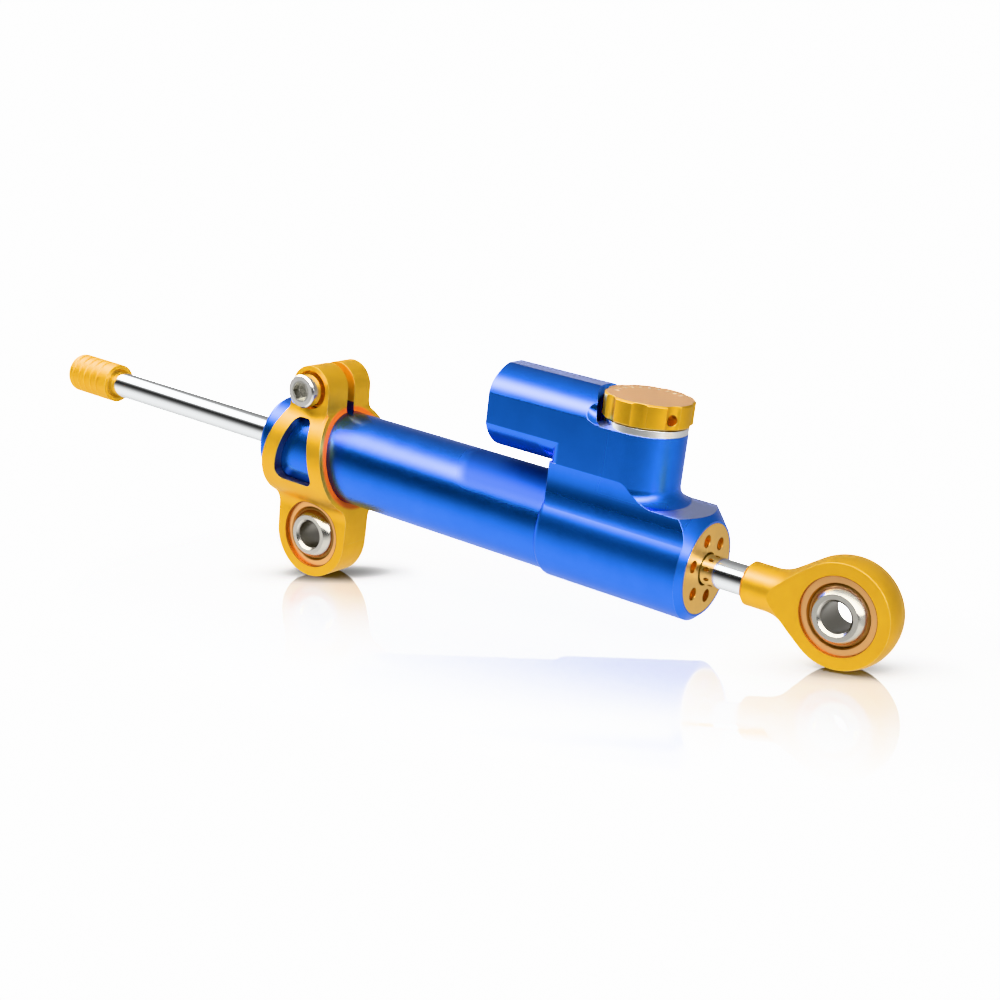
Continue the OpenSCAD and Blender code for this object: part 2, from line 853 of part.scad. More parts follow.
// Ribbed sleeve on the rear end of the rod
module rear_sleeve() {
    sleeve_r = sleeve_d / 2;
    dome = 1.8;
    groove_depth = 0.3;
    pitch = (sleeve_len - 4.5) / sleeve_grooves;
    color(GOLD)
    difference() {
        on_x()
            difference() {
                translate([0, sleeve_x0])
                    square([sleeve_r, sleeve_len]);
                difference() {
                    translate([sleeve_r - dome, sleeve_x0 - overlap])
                        square([dome + overlap, dome + overlap]);
                    translate([sleeve_r - dome, sleeve_x0 + dome])
                        circle(r = dome);
                }
                for (i = [0:sleeve_grooves - 1])
                    translate([sleeve_r + 0.25, sleeve_x0 + 3.2 + i * pitch])
                        circle(r = groove_depth + 0.25, $fn = 24);
                translate([0, sleeve_x1 - 0.8])
                    polygon([[0, 0], [rod_r + 0.2, 0], [rod_r + 0.9, 0.8 + overlap], [0, 0.8 + overlap]]);
            }
        tube_x(sleeve_x1 - rod_in_sleeve - 0.5, sleeve_x1 + 1, rod_r + seat_fit);
    }
}

// Curved flanks of the clamp seen from the side, [x, z] about its centre plane
module flank_lens(inset) {
    intersection() {
        translate(flank_c)
            circle(r = flank_r - inset, $fn = 180);
        translate([-flank_c[0], flank_c[1]])
            circle(r = flank_r - inset, $fn = 180);
    }
}

// Side view of ring, ear foot and lug neck: the flanks between two heights
module flank_band(z0, z1) {
    intersection() {
        flank_lens(0);
        translate([-2 * lug_r, z0])
            square([4 * lug_r, z1 - z0]);
    }
}

// Ring round the barrel, its ends shaped by the flanks
module clamp_ring() {
    intersection() {
        tube_x(-2 * lug_r, 2 * lug_r, ring_r);
        slab_y(-2 * ring_r, 2 * ring_r)
            flank_band(-ring_r - 1, bolt_z - 5);
    }
}

// Ears round the pinch bolt, with the flares at their foot
module clamp_ears() {
    rod_y_at(bolt_z, -ear_front_y, ear_rear_y, ear_r);
    translate([-ear_r, -ear_front_y, 0])
        cube([2 * ear_r, ear_front_y + ear_rear_y, bolt_z]);
    for (side = [0, 1])
        mirror([side, 0, 0])
            slab_y(-ear_front_y, ear_rear_y)
                wall_fillet(ear_r, flank_c, flank_r, ear_flank_fillet);
    intersection() {
        union() {
            slab_x(-ear_r, ear_r)
                wall_fillet(ear_rear_y, [0, 0], ring_r, ear_rear_flare);
            mirror([0, 1, 0])
                slab_x(-ear_r, ear_r)
                    wall_fillet(ear_front_y, [0, 0], ring_r, ear_front_flare);
        }
        translate([-ear_r, -2 * ring_r, 0])
            cube([2 * ear_r, 4 * ring_r, bolt_z]);
    }
}

// Cylinder along Y at height z
module rod_y_at(z, y0, y1, r) {
    translate([0, 0, z])
        rod_y(y0, y1, r);
}

// Lug for the bearing, with the shoulders that lead into the ring
module clamp_lug() {
    rod_y_at(-lug_drop, -lug_t / 2, lug_t / 2, lug_r);
    slab_y(-lug_t / 2, lug_t / 2)
        flank_band(-lug_drop, 0);
    intersection() {
        union()
            for (side = [0, 1])
                mirror([0, side, 0])
                    mirror([0, 0, 1])
                        slab_x(-2 * lug_r, 2 * lug_r)
                            wall_fillet(lug_t / 2, [0, 0], ring_r, lug_shoulder);
        slab_y(-2 * ring_r, 2 * ring_r)
            flank_band(-lug_drop, 0);
    }
}

// Window through each side of the ring, a rounded inset of the flanks
module clamp_window() {
    offset(r = window_corner, $fn = 40)
        offset(delta = -window_corner)
            intersection() {
                flank_lens(window_rim);
                translate([-lug_r, window_low])
                    square([2 * lug_r, window_high - window_low]);
            }
}

module clamp() {
    color(GOLD)
    translate([clamp_x, 0, 0])
        difference() {
            union() {
                clamp_ring();
                clamp_ears();
                clamp_lug();
            }
            tube_x(-2 * lug_r, 2 * lug_r, clamp_bore_r);
            translate([-2 * lug_r, -slot_w / 2, 0])
                cube([4 * lug_r, slot_w, bolt_z + 2 * ear_r]);
            slab_y(-2 * ring_r, 2 * ring_r)
                clamp_window();
            rod_y_at(bolt_z, -2 * ring_r, 0, bolt_d / 2 + 0.2);
            rod_y_at(bolt_z, 0, 2 * ring_r, bolt_d / 2 + seat_fit);
            rod_y_at(bolt_z, -2 * ring_r, -ear_front_y + cbore_depth, cbore_d / 2);
            rod_y_at(-lug_drop, -lug_t, lug_t, race_d / 2 + seat_fit);
        }
}

// Pinch bolt: low socket head, hexagon socket and shank through both ears
module pinch_bolt() {
    head_y = washer_y - bolt_head_h;
    rim = 0.5;
    hex_r = bolt_hex / 2 / cos(30);
    color(STEEL)
    translate([clamp_x, 0, bolt_z])
        difference() {
            rotate([-90, 0, 0])
                rotate_extrude()
                    polygon([
                        [0, head_y], [bolt_head_d / 2 - rim, head_y], [bolt_head_d / 2, head_y + rim],
                        [bolt_head_d / 2, washer_y - seat_fit], [bolt_d / 2, washer_y - seat_fit],
                        [bolt_d / 2, ear_rear_y - 1], [bolt_d / 2 - 0.6, ear_rear_y - 0.4],
                        [0, ear_rear_y - 0.4]
                    ]);
            translate([0, head_y + bolt_head_h * 0.75, 0])
                rotate([90, 0, 0])
                    cylinder(h = bolt_head_h, r = hex_r, $fn = 6);
        }
}

module bolt_washer() {
    color(GOLD)
    translate([clamp_x, 0, bolt_z])
        difference() {
            rod_y(washer_y, washer_y + washer_t - seat_fit, washer_d / 2);
            rod_y(washer_y - 1, washer_y + washer_t, bolt_d / 2 + seat_fit);
        }
}

module lug_race() {
    color(BRONZE)
    translate([clamp_x, 0, -lug_drop])
        race_shape();
}

module lug_ball() {
    color(STEEL)
    translate([clamp_x, 0, -lug_drop])
        ball_shape();
}

// Index ring on the boss, with the click dimples
module index_ring() {
    dimple_r = 0.75;
    dimple_depth = 0.35;
    z0 = boss_top_z;
    color(PALE)
    translate([boss_x, 0, z0])
        difference() {
            cylinder(h = index_t, r = index_d / 2);
            translate([0, 0, -1])
                cylinder(h = index_t + 2, r = gland_nut_d / 2 + seat_fit);
            for (i = [0:clicks - 1])
                rotate([0, 0, i * 360 / clicks])
                    translate([click_r, 0, index_t + dimple_r - dimple_depth])
                        sphere(r = dimple_r, $fn = 24);
        }
}

// Threaded gland that holds the spindle down and clamps the index ring
module spindle_gland() {
    seal_pocket = oring_cord + 0.5;
    color(STEEL)
    translate([boss_x, 0, 0])
        difference() {
            union() {
                translate([0, 0, boss_top_z - nut_depth + seat_fit])
                    cylinder(h = nut_depth + index_t, r = gland_nut_d / 2);
                translate([0, 0, boss_top_z + index_t + seat_fit])
                    cylinder(h = flange_t, r = flange_r);
            }
            translate([0, 0, boss_top_z - nut_depth - 1])
                cylinder(h = nut_depth + index_t + 4, r = stem_d / 2 + run_fit);
            translate([0, 0, boss_top_z - nut_depth - 1])
                cylinder(h = seal_pocket + 1, r = stem_d / 2 + oring_cord);
        }
}

module spindle_oring() {
    color(SEAL)
    translate([boss_x, 0, boss_top_z - nut_depth + oring_r + 0.25])
        rotate_extrude()
            translate([stem_d / 2 + oring_r + run_fit / 2, 0])
                circle(r = oring_r - run_fit, $fn = 32);
}

// Spindle: rotary valve disc with its metering groove, stem and drive flat
module adjuster_spindle() {
    disc_h = boss_top_z - nut_depth - valve_floor_z - 0.1;
    groove_deep = 1.2;
    color(STEEL)
    translate([boss_x, 0, 0])
        difference() {
            union() {
                translate([0, 0, valve_floor_z + run_fit])
                    cylinder(h = disc_h, r = valve_d / 2);
                translate([0, 0, valve_floor_z + disc_h])
                    cylinder(h = stem_top_z - valve_floor_z - disc_h, r = stem_d / 2);
            }
            translate([0, 0, valve_floor_z])
                rotate_extrude(angle = 200)
                    translate([port_pitch / 2 - 0.8, -overlap])
                        square([1.6, groove_deep]);
            rotate([0, 0, set_screw_angle])
                translate([stem_d / 2 - stem_flat, -stem_d, knob_z])
                    cube([stem_d, 2 * stem_d, knob_h]);
        }
}

// Knob: scalloped rim, top chamfer, recess over the gland, stem bore and cross hole
module knob() {
    chamfer = 0.35;
    scallop_sag = scallop_depth - (knob_d / 2 - sqrt(pow(knob_d / 2, 2) - pow(scallop_w / 2, 2)));
    scallop_r = (pow(scallop_w / 2, 2) + pow(scallop_sag, 2)) / (2 * scallop_sag);
    scallop_c = knob_d / 2 - scallop_depth + scallop_r;
    color(GOLD)
    translate([boss_x, 0, knob_z])
        difference() {
            rotate_extrude()
                polygon([
                    [0, 0], [knob_d / 2 - chamfer, 0], [knob_d / 2, chamfer],
                    [knob_d / 2, knob_h - chamfer], [knob_d / 2 - chamfer, knob_h], [0, knob_h]
                ]);
            for (i = [0:scallops - 1])
                rotate([0, 0, set_screw_angle + i * 360 / scallops])
                    translate([scallop_c, 0, -1])
                        cylinder(h = knob_h + 2, r = scallop_r);
            translate([0, 0, -1])
                cylinder(h = flange_t + 0.5 + 1, r = flange_r + 0.3);
            translate([0, 0, -1])
                cylinder(h = stem_top_z - knob_z + 1.3, r = stem_d / 2 + seat_fit);
            rotate([0, 0, set_screw_angle])
                translate([0, 0, set_screw_z - knob_z])
                    rotate([0, 90, 0])
                        cylinder(h = knob_d, r = set_screw_d / 2);
            translate([click_r, 0, -1])
                cylinder(h = detent_depth + 1, r = detent_d / 2 + run_fit);
        }
}

module knob_set_screw() {
    screw_len = 4;
    hex_r = 1.5 / 2 / cos(30);
    color(STEEL)
    translate([boss_x, 0, set_screw_z])
        rotate([0, 0, set_screw_angle])
            translate([stem_d / 2 - stem_flat + seat_fit, 0, 0])
                rotate([0, 90, 0])
                    difference() {
                        cylinder(h = screw_len, r = set_screw_d / 2 - seat_fit);
                        translate([0, 0, screw_len - 1.5])
                            cylinder(h = 2, r = hex_r, $fn = 6);
                    }
}

// Click ball between the index ring and its spring in the knob
module detent_ball() {
    color(STEEL)
    translate([boss_x + click_r, 0, detent_ball_z])
        sphere(r = detent_d / 2);
}

// Closed sweep of a round wire along a helix of the given turns, from z0 to z1
module helix_wire(coil_r, wire_r, z0, z1, turns) {
    steps = turns * 12;
    sides = 6;
    points = [
        for (i = [0:steps], j = [0:sides - 1])
            let (a = 360 * i * turns / steps, b = 360 * j / sides, rr = coil_r + wire_r * cos(b))
                [rr * cos(a), rr * sin(a), z0 + wire_r + (z1 - z0 - 2 * wire_r) * i / steps + wire_r * sin(b)]
    ];
    sides_faces = [
        for (i = [0:steps - 1], j = [0:sides - 1], k = [0:1])
            let (p = i * sides + j, q = i * sides + (j + 1) % sides)
                k == 0 ? [p, p + sides, q + sides] : [p, q + sides, q]
    ];
    ends = [
        for (j = [1:sides - 2], k = [0:1])
            k == 0 ? [0, j, j + 1] : [steps * sides, steps * sides + j + 1, steps * sides + j]
    ];
    polyhedron(points = points, faces = concat(sides_faces, ends));
}

module detent_spring() {
    wire_r = 0.14;
    color(STEEL)
    translate([boss_x + click_r, 0, 0])
        helix_wire(detent_d / 2 - wire_r - 0.06, wire_r, detent_ball_z + detent_d / 2 * 0.86,
            knob_z + detent_depth - 0.05, 4);
}

barrel_tube();
liner_tube();
liner_oring();
spigot_oring();
rear_bush();
rear_rod_seal();
head_housing();
gland_cap();
gland_oring();
front_bush();
front_rod_seal();
reservoir_plug();
plug_oring();
plug_circlip();
floating_piston();
floater_oring();
piston_rod();
piston();
piston_ring();
piston_clips();
rod_end();
rod_end_race();
rod_end_ball();
rear_sleeve();
clamp();
pinch_bolt();
bolt_washer();
lug_race();
lug_ball();
index_ring();
spindle_gland();
spindle_oring();
adjuster_spindle();
knob();
knob_set_screw();
detent_ball();
detent_spring();
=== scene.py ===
"""Finishes, studio and camera for a motorcycle steering damper.

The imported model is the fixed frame: every moving group is a body of it, and every length here is in
metres in its axes. The rod runs along X, the eye's bore along Y, and the adjuster points up along Z.
"""

from __future__ import annotations

import logging
import math
from dataclasses import dataclass, field
from enum import Enum
from typing import Any, Dict, List, Optional, Sequence, Tuple, Union

import bmesh
import bpy
import numpy as np
from mathutils import Matrix, Vector


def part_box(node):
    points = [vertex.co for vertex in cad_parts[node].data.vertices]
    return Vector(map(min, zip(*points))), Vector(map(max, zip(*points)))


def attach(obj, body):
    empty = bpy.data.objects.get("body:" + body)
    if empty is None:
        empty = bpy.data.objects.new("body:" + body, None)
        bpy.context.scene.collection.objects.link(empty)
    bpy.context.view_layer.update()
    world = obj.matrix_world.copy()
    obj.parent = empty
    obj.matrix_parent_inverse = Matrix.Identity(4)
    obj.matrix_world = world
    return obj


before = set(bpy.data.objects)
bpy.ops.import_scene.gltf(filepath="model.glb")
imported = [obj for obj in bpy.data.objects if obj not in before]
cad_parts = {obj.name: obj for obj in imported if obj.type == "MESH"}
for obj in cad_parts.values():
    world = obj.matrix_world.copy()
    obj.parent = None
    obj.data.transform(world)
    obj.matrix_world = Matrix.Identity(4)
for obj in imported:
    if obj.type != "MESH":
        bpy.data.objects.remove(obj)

LOG = logging.getLogger("damper")
MM = 0.001

Colour = Tuple[float, float, float]
Point = Tuple[float, float, float]
Range = Tuple[float, float]
Value = Union[float, Sequence[float], "Term"]
Settings = Dict[str, Any]
Inputs = Dict[Union[int, str], Value]

ORIGIN: Point = (0.0, 0.0, 0.0)


class Axis(Enum):
    """A direction of the frame: the index of its own coordinate."""

    X = 0
    Y = 1
    Z = 2


class Term:
    """A socket of a node tree, on which the arithmetic operators add Math nodes."""

    def __init__(self, graph: "Graph", socket: bpy.types.NodeSocket) -> None:
        """Wraps one output socket of a graph."""
        self.graph = graph
        self.socket = socket

    def _math(self, operation: str, *values: Value) -> "Term":
        """Adds one Math node on the values and returns its result."""
        return self.graph.add("ShaderNodeMath", {"operation": operation}, dict(enumerate(values)))

    def __add__(self, other: Value) -> "Term":
        """Sum."""
        return self._math("ADD", self, other)

    def __radd__(self, other: Value) -> "Term":
        """Sum with the number in front."""
        return self._math("ADD", other, self)

    def __sub__(self, other: Value) -> "Term":
        """Difference."""
        return self._math("SUBTRACT", self, other)

    def __rsub__(self, other: Value) -> "Term":
        """Difference from the number in front."""
        return self._math("SUBTRACT", other, self)

    def __mul__(self, other: Value) -> "Term":
        """Product."""
        return self._math("MULTIPLY", self, other)

    def __rmul__(self, other: Value) -> "Term":
        """Product with the number in front."""
        return self._math("MULTIPLY", other, self)

    def __truediv__(self, other: Value) -> "Term":
        """Quotient."""
        return self._math("DIVIDE", self, other)

    def __rtruediv__(self, other: Value) -> "Term":
        """Quotient with the number in front."""
        return self._math("DIVIDE", other, self)

    def __pow__(self, other: Value) -> "Term":
        """Power."""
        return self._math("POWER", self, other)

    def __rpow__(self, other: Value) -> "Term":
        """Power with the number in front."""
        return self._math("POWER", other, self)

    def __neg__(self) -> "Term":
        """Opposite."""
        return self._math("MULTIPLY", self, -1.0)

    def __abs__(self) -> "Term":
        """Size without the sign."""
        return self._math("ABSOLUTE", self)

    def exp(self) -> "Term":
        """e to the power of this."""
        return self._math("EXPONENT", self)

    def at_least(self, other: Value) -> "Term":
        """The larger of this and the other."""
        return self._math("MAXIMUM", self, other)

    def angle_over(self, other: Value) -> "Term":
        """The angle, in radians, whose tangent is this over the other."""
        return self._math("ARCTAN2", self, other)

    def clip(self) -> "Term":
        """Held between 0 and 1."""
        return self.graph.add("ShaderNodeClamp", {}, {"Value": self})

    def above(self, low: float, high: float) -> "Term":
        """0 under low, 1 over high, and a smooth step between."""
        ends = {"Value": self, "From Min": low, "From Max": high}
        return self.graph.add("ShaderNodeMapRange", {"interpolation_type": "SMOOTHSTEP"}, ends)


class Graph:
    """The node tree of one material or world."""

    def __init__(self, tree: bpy.types.NodeTree) -> None:
        """Empties the tree."""
        self.tree = tree
        tree.nodes.clear()

    def node(
        self, kind: str, settings: Optional[Settings] = None, inputs: Optional[Inputs] = None
    ) -> bpy.types.Node:
        """Adds a node.

        Args:
            kind: the node's type.
            settings: its properties, set first; "stops" holds a ramp's (place, colour) pairs.
            inputs: a value or a Term for each named or numbered input.

        Returns:
            The node.
        """
        node = self.tree.nodes.new(kind)
        for name, value in (settings or {}).items():
            if name == "stops":
                self._stops(node.color_ramp, value)
            else:
                setattr(node, name, value)
        for name, value in (inputs or {}).items():
            if isinstance(value, Term):
                self.tree.links.new(value.socket, node.inputs[name])
            else:
                node.inputs[name].default_value = value
        return node

    def add(
        self,
        kind: str,
        settings: Optional[Settings] = None,
        inputs: Optional[Inputs] = None,
        output: Union[int, str] = 0,
    ) -> Term:
        """Adds a node and gives one of its outputs, by number or name."""
        return Term(self, self.node(kind, settings, inputs).outputs[output])

    @staticmethod
    def _stops(ramp: bpy.types.ColorRamp, stops: Sequence[Tuple[float, Colour]]) -> None:
        """Puts colours on a ramp that starts with two.

        Args:
            ramp: the ramp.
            stops: the place, from 0 to 1, and the colour of each stop, in order.
        """
        for place, _ in stops[1:-1]:
            ramp.elements.new(place)
        for element, (place, colour) in zip(ramp.elements, stops):
            element.position = place
            element.color = (*colour, 1.0)

    def split(self, vector: Term) -> Tuple[Term, ...]:
        """The three coordinates of a vector."""
        outputs = self.node("ShaderNodeSeparateXYZ", {}, {0: vector}).outputs
        return tuple(Term(self, output) for output in outputs)

    def vector(self, operation: str, a: Value, b: Value) -> Term:
        """A Vector Math node on a and b, for a result that is a vector."""
        return self.add("ShaderNodeVectorMath", {"operation": operation}, {0: a, 1: b})

    def dot(self, a: Value, b: Value) -> Term:
        """The dot product of a and b."""
        return self.add("ShaderNodeVectorMath", {"operation": "DOT_PRODUCT"}, {0: a, 1: b}, "Value")

    def blend(self, share: Value, a: Value, b: Value) -> Term:
        """Colour a turning into colour b as share goes from 0 to 1."""
        ends = {6: a if isinstance(a, Term) else (*a, 1.0), 7: b if isinstance(b, Term) else (*b, 1.0)}
        return self.add("ShaderNodeMix", {"data_type": "RGBA"}, {0: share, **ends}, 2)

    def place(self) -> Term:
        """The point in the object's own coordinates."""
        return self.add("ShaderNodeTexCoord", {}, {}, "Object")

    def facing(self) -> Tuple[Term, ...]:
        """The three coordinates of the normal in the object's own axes."""
        return self.split(self.add("ShaderNodeTexCoord", {}, {}, "Normal"))

    def noise(self, point: Value, size: float, detail: float) -> Term:
        """Smooth noise round 0.5 with features of a size in metres."""
        inputs = {"Vector": point, "Scale": 1.0 / size, "Detail": detail, "Roughness": 0.55}
        return self.add("ShaderNodeTexNoise", {}, inputs)

    def lines(self, distance: Term, pitch: float) -> Term:
        """Uneven parallel lines across a distance, with a mean pitch in metres."""
        inputs = {"W": distance / pitch, "Scale": 1.0, "Detail": 1.0, "Roughness": 0.6}
        return self.add("ShaderNodeTexNoise", {"noise_dimensions": "1D"}, inputs)

    def about(self, point: Term, centre: Point, axis: Axis) -> Tuple[Term, Term]:
        """Where a point lies about an axis: a along it from the centre, r = sqrt(u**2 + v**2) off it.

        Args:
            point: the point.
            centre: a point of the axis.
            axis: its direction.

        Returns:
            The distances a and r.
        """
        local = self.split(self.vector("SUBTRACT", point, centre))
        u, v = (local[i] for i in range(3) if i != axis.value)
        return local[axis.value], (u * u + v * v) ** 0.5

    def finish(self, shader: Term) -> None:
        """Sends a shader to the output node of a material or a world."""
        kind = "World" if isinstance(self.tree.id_data, bpy.types.World) else "Material"
        self.node("ShaderNodeOutput" + kind, {}, {"Surface": shader})


def linked(name: str, data: bpy.types.ID) -> bpy.types.Object:
    """Makes an object and links it to the scene.

    Args:
        name: its name.
        data: its mesh, curve, camera or light.

    Returns:
        The object, at the origin.
    """
    made = bpy.data.objects.new(name, data)
    bpy.context.scene.collection.objects.link(made)
    return made


class Surface:
    """Meshes made from arrays of points."""

    @staticmethod
    def from_rings(name: str, rings: np.ndarray, pole: Optional[np.ndarray] = None) -> bpy.types.Object:
        """Joins each closed ring of points to the next, and the first to a pole if there is one.

        Args:
            name: the object's name.
            rings: array of rings, points and 3 coordinates.
            pole: the point that closes the first ring.

        Returns:
            The object.
        """
        count = rings.shape[1]
        index = np.arange(rings.shape[0] * count).reshape(-1, count)
        after = np.roll(index, -1, axis=1)
        faces = np.stack([index[:-1], index[1:], after[1:], after[:-1]], axis=-1).reshape(-1, 4).tolist()
        points = rings.reshape(-1, 3)
        if pole is not None:
            faces += np.stack([np.full(count, len(points)), index[0], after[0]], axis=-1).tolist()
            points = np.vstack([points, pole])
        mesh = bpy.data.meshes.new(name)
        mesh.from_pydata(points.tolist(), [], faces)
        return linked(name, mesh)


class Facing(Enum):
    """Which faces a zone takes, by their normal."""

    ANY = "any"
    OUTWARD = "outward"
    OTHER = "other"


@dataclass(frozen=True)
class Zone:
    """A part of a piece, a round bar of space about one axis, whose surface differs from the rest.

    Attributes:
        axis: direction of the bar.
        centre: a point of its axis.
        radius: its radius.
        low: where it starts along the axis, as a coordinate.
        high: where it ends.
        soft: width of its blurred edge.
        facing: which faces are in it; an outward one looks away from the middle coordinate.
        middle: that coordinate.
        outward: distance from the middle, times the normal, at which a face starts to be outward and is.
        colour: the colour in it, or None for the same.
        roughness: the roughness in it, or None for the same.
        metallic: how metallic it is, where that is less than the rest.
    """

    axis: Axis
    centre: Point
    radius: float
    low: float = -1.0
    high: float = 1.0
    soft: float = 0.3 * MM
    facing: Facing = Facing.ANY
    middle: float = 0.0
    outward: Range = (0.2 * MM, 0.8 * MM)
    colour: Optional[Colour] = None
    roughness: Optional[float] = None
    metallic: float = 1.0

    def share(self, graph: Graph, point: Term) -> Term:
        """1 inside the bar and 0 outside: smooth steps of the distance from its axis and of its ends.

        Args:
            graph: the node tree.
            point: the shaded point.

        Returns:
            The share.
        """
        place = graph.split(point)[self.axis.value]
        _, away = graph.about(point, self.centre, self.axis)
        started = place.above(self.low - self.soft, self.low)
        ended = place.above(self.high, self.high + self.soft)
        share = (1.0 - away.above(self.radius, self.radius + self.soft)) * started * (1.0 - ended)
        if self.facing is Facing.ANY:
            return share
        outward = ((place - self.middle) * graph.facing()[self.axis.value]).above(*self.outward)
        return share * (outward if self.facing is Facing.OUTWARD else 1.0 - outward)


@dataclass(frozen=True)
class Turning:
    """Tool lines left on a turned piece: rings round its axis, and circles on its ends.

    Attributes:
        axis: direction of the line it was turned about.
        centre: a point of that line.
        pitch: mean distance between lines.
        depth: height of the lines.
    """

    axis: Axis = Axis.X
    centre: Point = ORIGIN
    pitch: float = 0.4 * MM
    depth: float = 0.9e-6

    def height(self, graph: Graph, point: Term) -> Term:
        """The line pattern, 0 to 1, over the distance along the axis plus the distance from it."""
        along, away = graph.about(point, self.centre, self.axis)
        return graph.lines(along + away, self.pitch)


@dataclass(frozen=True)
class Milling:
    """Cutter lines left on a milled face: straight and parallel, across one coordinate."""

    axis: Axis = Axis.X
    pitch: float = 0.35 * MM
    depth: float = 0.6e-6

    def height(self, graph: Graph, point: Term) -> Term:
        """The line pattern, 0 to 1, a function of one coordinate alone."""
        return graph.lines(graph.split(point)[self.axis.value], self.pitch)


@dataclass(frozen=True)
class Grain:
    """The even fine grain of a blasted or etched surface."""

    size: float = 0.16 * MM
    depth: float = 0.8e-6

    def height(self, graph: Graph, point: Term) -> Term:
        """The grain pattern, 0 to 1, noise in three dimensions."""
        return graph.noise(point, self.size, 3.0)


@dataclass(frozen=True)
class Finish:
    """A surface, as a material that is made once.

    Attributes:
        name: the material's name.
        colour: its colour face on.
        roughness: its mean roughness.
    """

    name: str
    colour: Colour
    roughness: float

    def material(self) -> bpy.types.Material:
        """The material, found by its name or made.

        Returns:
            A node material on Object coordinates.
        """
        known = bpy.data.materials.get(self.name)
        if known:
            return known
        made = bpy.data.materials.new(self.name)
        made.use_nodes = True
        made.diffuse_color = (*self.colour, 1.0)
        graph = Graph(made.node_tree)
        graph.finish(self.shader(graph, graph.place()))
        return made

    def shader(self, graph: Graph, point: Term) -> Term:
        """The shader at a point, which each kind of surface gives."""
        raise NotImplementedError


@dataclass(frozen=True)
class Metal(Finish):
    """A metal surface: its shine, its tool marks and its edges.

    Attributes:
        marks: tool marks and grain, each with its own height.
        rough_spread: how much the roughness drifts over the surface.
        tone_spread: how much the colour drifts, as a share of itself.
        drift_size: size of the patches in which both drift.
        smear_size: size of the finer smears in the roughness.
        smear_stretch: what the point is multiplied by for them, so that they lie along X.
        edge: radius of the broken edges.
        edge_turn: how far the normal has turned where an edge starts, and where it is full.
        edge_colour: colour of the rubbed edges, which also serves as a painted highlight along them.
        edge_wear: how far the edges turn to that colour.
        wear_mean: share of that wear and painted highlight where the surface hasn't drifted.
        wear_drift: what this share gains with the drift.
        up: the normal's height where a face starts to point up, and where it fully does.
        flat_colour: colour of the milled faces that point up, where they differ; on the head a painted sheen.
        flat_roughness: roughness of those faces.
        zones: parts of the piece that differ.
        metallic: how metallic it is outside them; a blasted and dyed skin scatters a part of the light.
    """

    marks: Tuple[Union[Turning, Milling, Grain], ...] = ()
    rough_spread: float = 0.06
    tone_spread: float = 0.06
    drift_size: float = 7 * MM
    smear_size: float = 1.6 * MM
    smear_stretch: Point = (0.25, 1.0, 1.0)
    edge: float = 0.18 * MM
    edge_turn: Range = (0.004, 0.12)
    edge_colour: Optional[Colour] = None
    edge_wear: float = 0.0
    wear_mean: float = 0.9
    wear_drift: float = 2.4
    up: Range = (0.97, 0.995)
    flat_colour: Optional[Colour] = None
    flat_roughness: float = 0.45
    zones: Tuple[Zone, ...] = ()
    metallic: float = 1.0

    def material(self) -> bpy.types.Material:
        """The material, metallic also where it is shown without its nodes.

        Returns:
            A node material on Object coordinates.
        """
        made = super().material()
        made.metallic = 1.0
        return made

    def _tone(self, change: float) -> Colour:
        """The colour made lighter or darker by a share of itself."""
        return tuple(min(1.0, c * (1.0 + change)) for c in self.colour)

    def shader(self, graph: Graph, point: Term) -> Term:
        """The metal: its edges rounded first, then each mark's height added to the normal.

        Args:
            graph: the node tree.
            point: the shaded point.

        Returns:
            The shader.
        """
        drift = graph.noise(point, self.drift_size, 3.0) - 0.5
        stretched = graph.vector("MULTIPLY", point, self.smear_stretch)
        smear = graph.noise(stretched, self.smear_size, 4.0) - 0.5
        darker, lighter = self._tone(-self.tone_spread), self._tone(self.tone_spread)
        colour = graph.blend((drift * 2.0 + 0.5).clip(), darker, lighter)
        roughness = smear * self.rough_spread + drift * self.rough_spread + self.roughness
        rounded = graph.add("ShaderNodeBevel", {"samples": 6}, {"Radius": self.edge})
        # Faces that point up take flat_colour: on the head this is a painted sheen.
        if self.flat_colour:
            up = graph.facing()[Axis.Z.value].above(*self.up)
            colour = graph.blend(up, colour, self.flat_colour)
            roughness = roughness + up * (self.flat_roughness - self.roughness)
        # Rubbed edges turn paler in patches; this paler colour is also a painted highlight along the edges.
        if self.edge_colour:
            true_normal = graph.add("ShaderNodeNewGeometry", {}, {}, "Normal")
            rim = (1.0 - graph.dot(rounded, true_normal)).above(*self.edge_turn)
            patches = (drift * self.wear_drift + self.wear_mean).clip()
            worn_and_highlit = (rim * patches * self.edge_wear).clip()
            colour = graph.blend(worn_and_highlit, colour, self.edge_colour)
        metallic: Value = self.metallic
        for zone in self.zones:
            share = zone.share(graph, point)
            if zone.colour:
                colour = graph.blend(share, colour, zone.colour)
            if zone.roughness is not None:
                roughness = roughness + share * (zone.roughness - roughness)
            if zone.metallic < self.metallic:
                metallic = metallic - share * (self.metallic - zone.metallic)
        normal = rounded
        for mark in self.marks:
            relief = {"Distance": mark.depth, "Height": mark.height(graph, point), "Normal": normal}
            normal = graph.add("ShaderNodeBump", {}, {"Strength": 1.0, **relief})
        skin = {"Base Color": colour, "Metallic": metallic, "Roughness": roughness.clip(), "Normal": normal}
        return graph.add("ShaderNodeBsdfPrincipled", {}, skin)


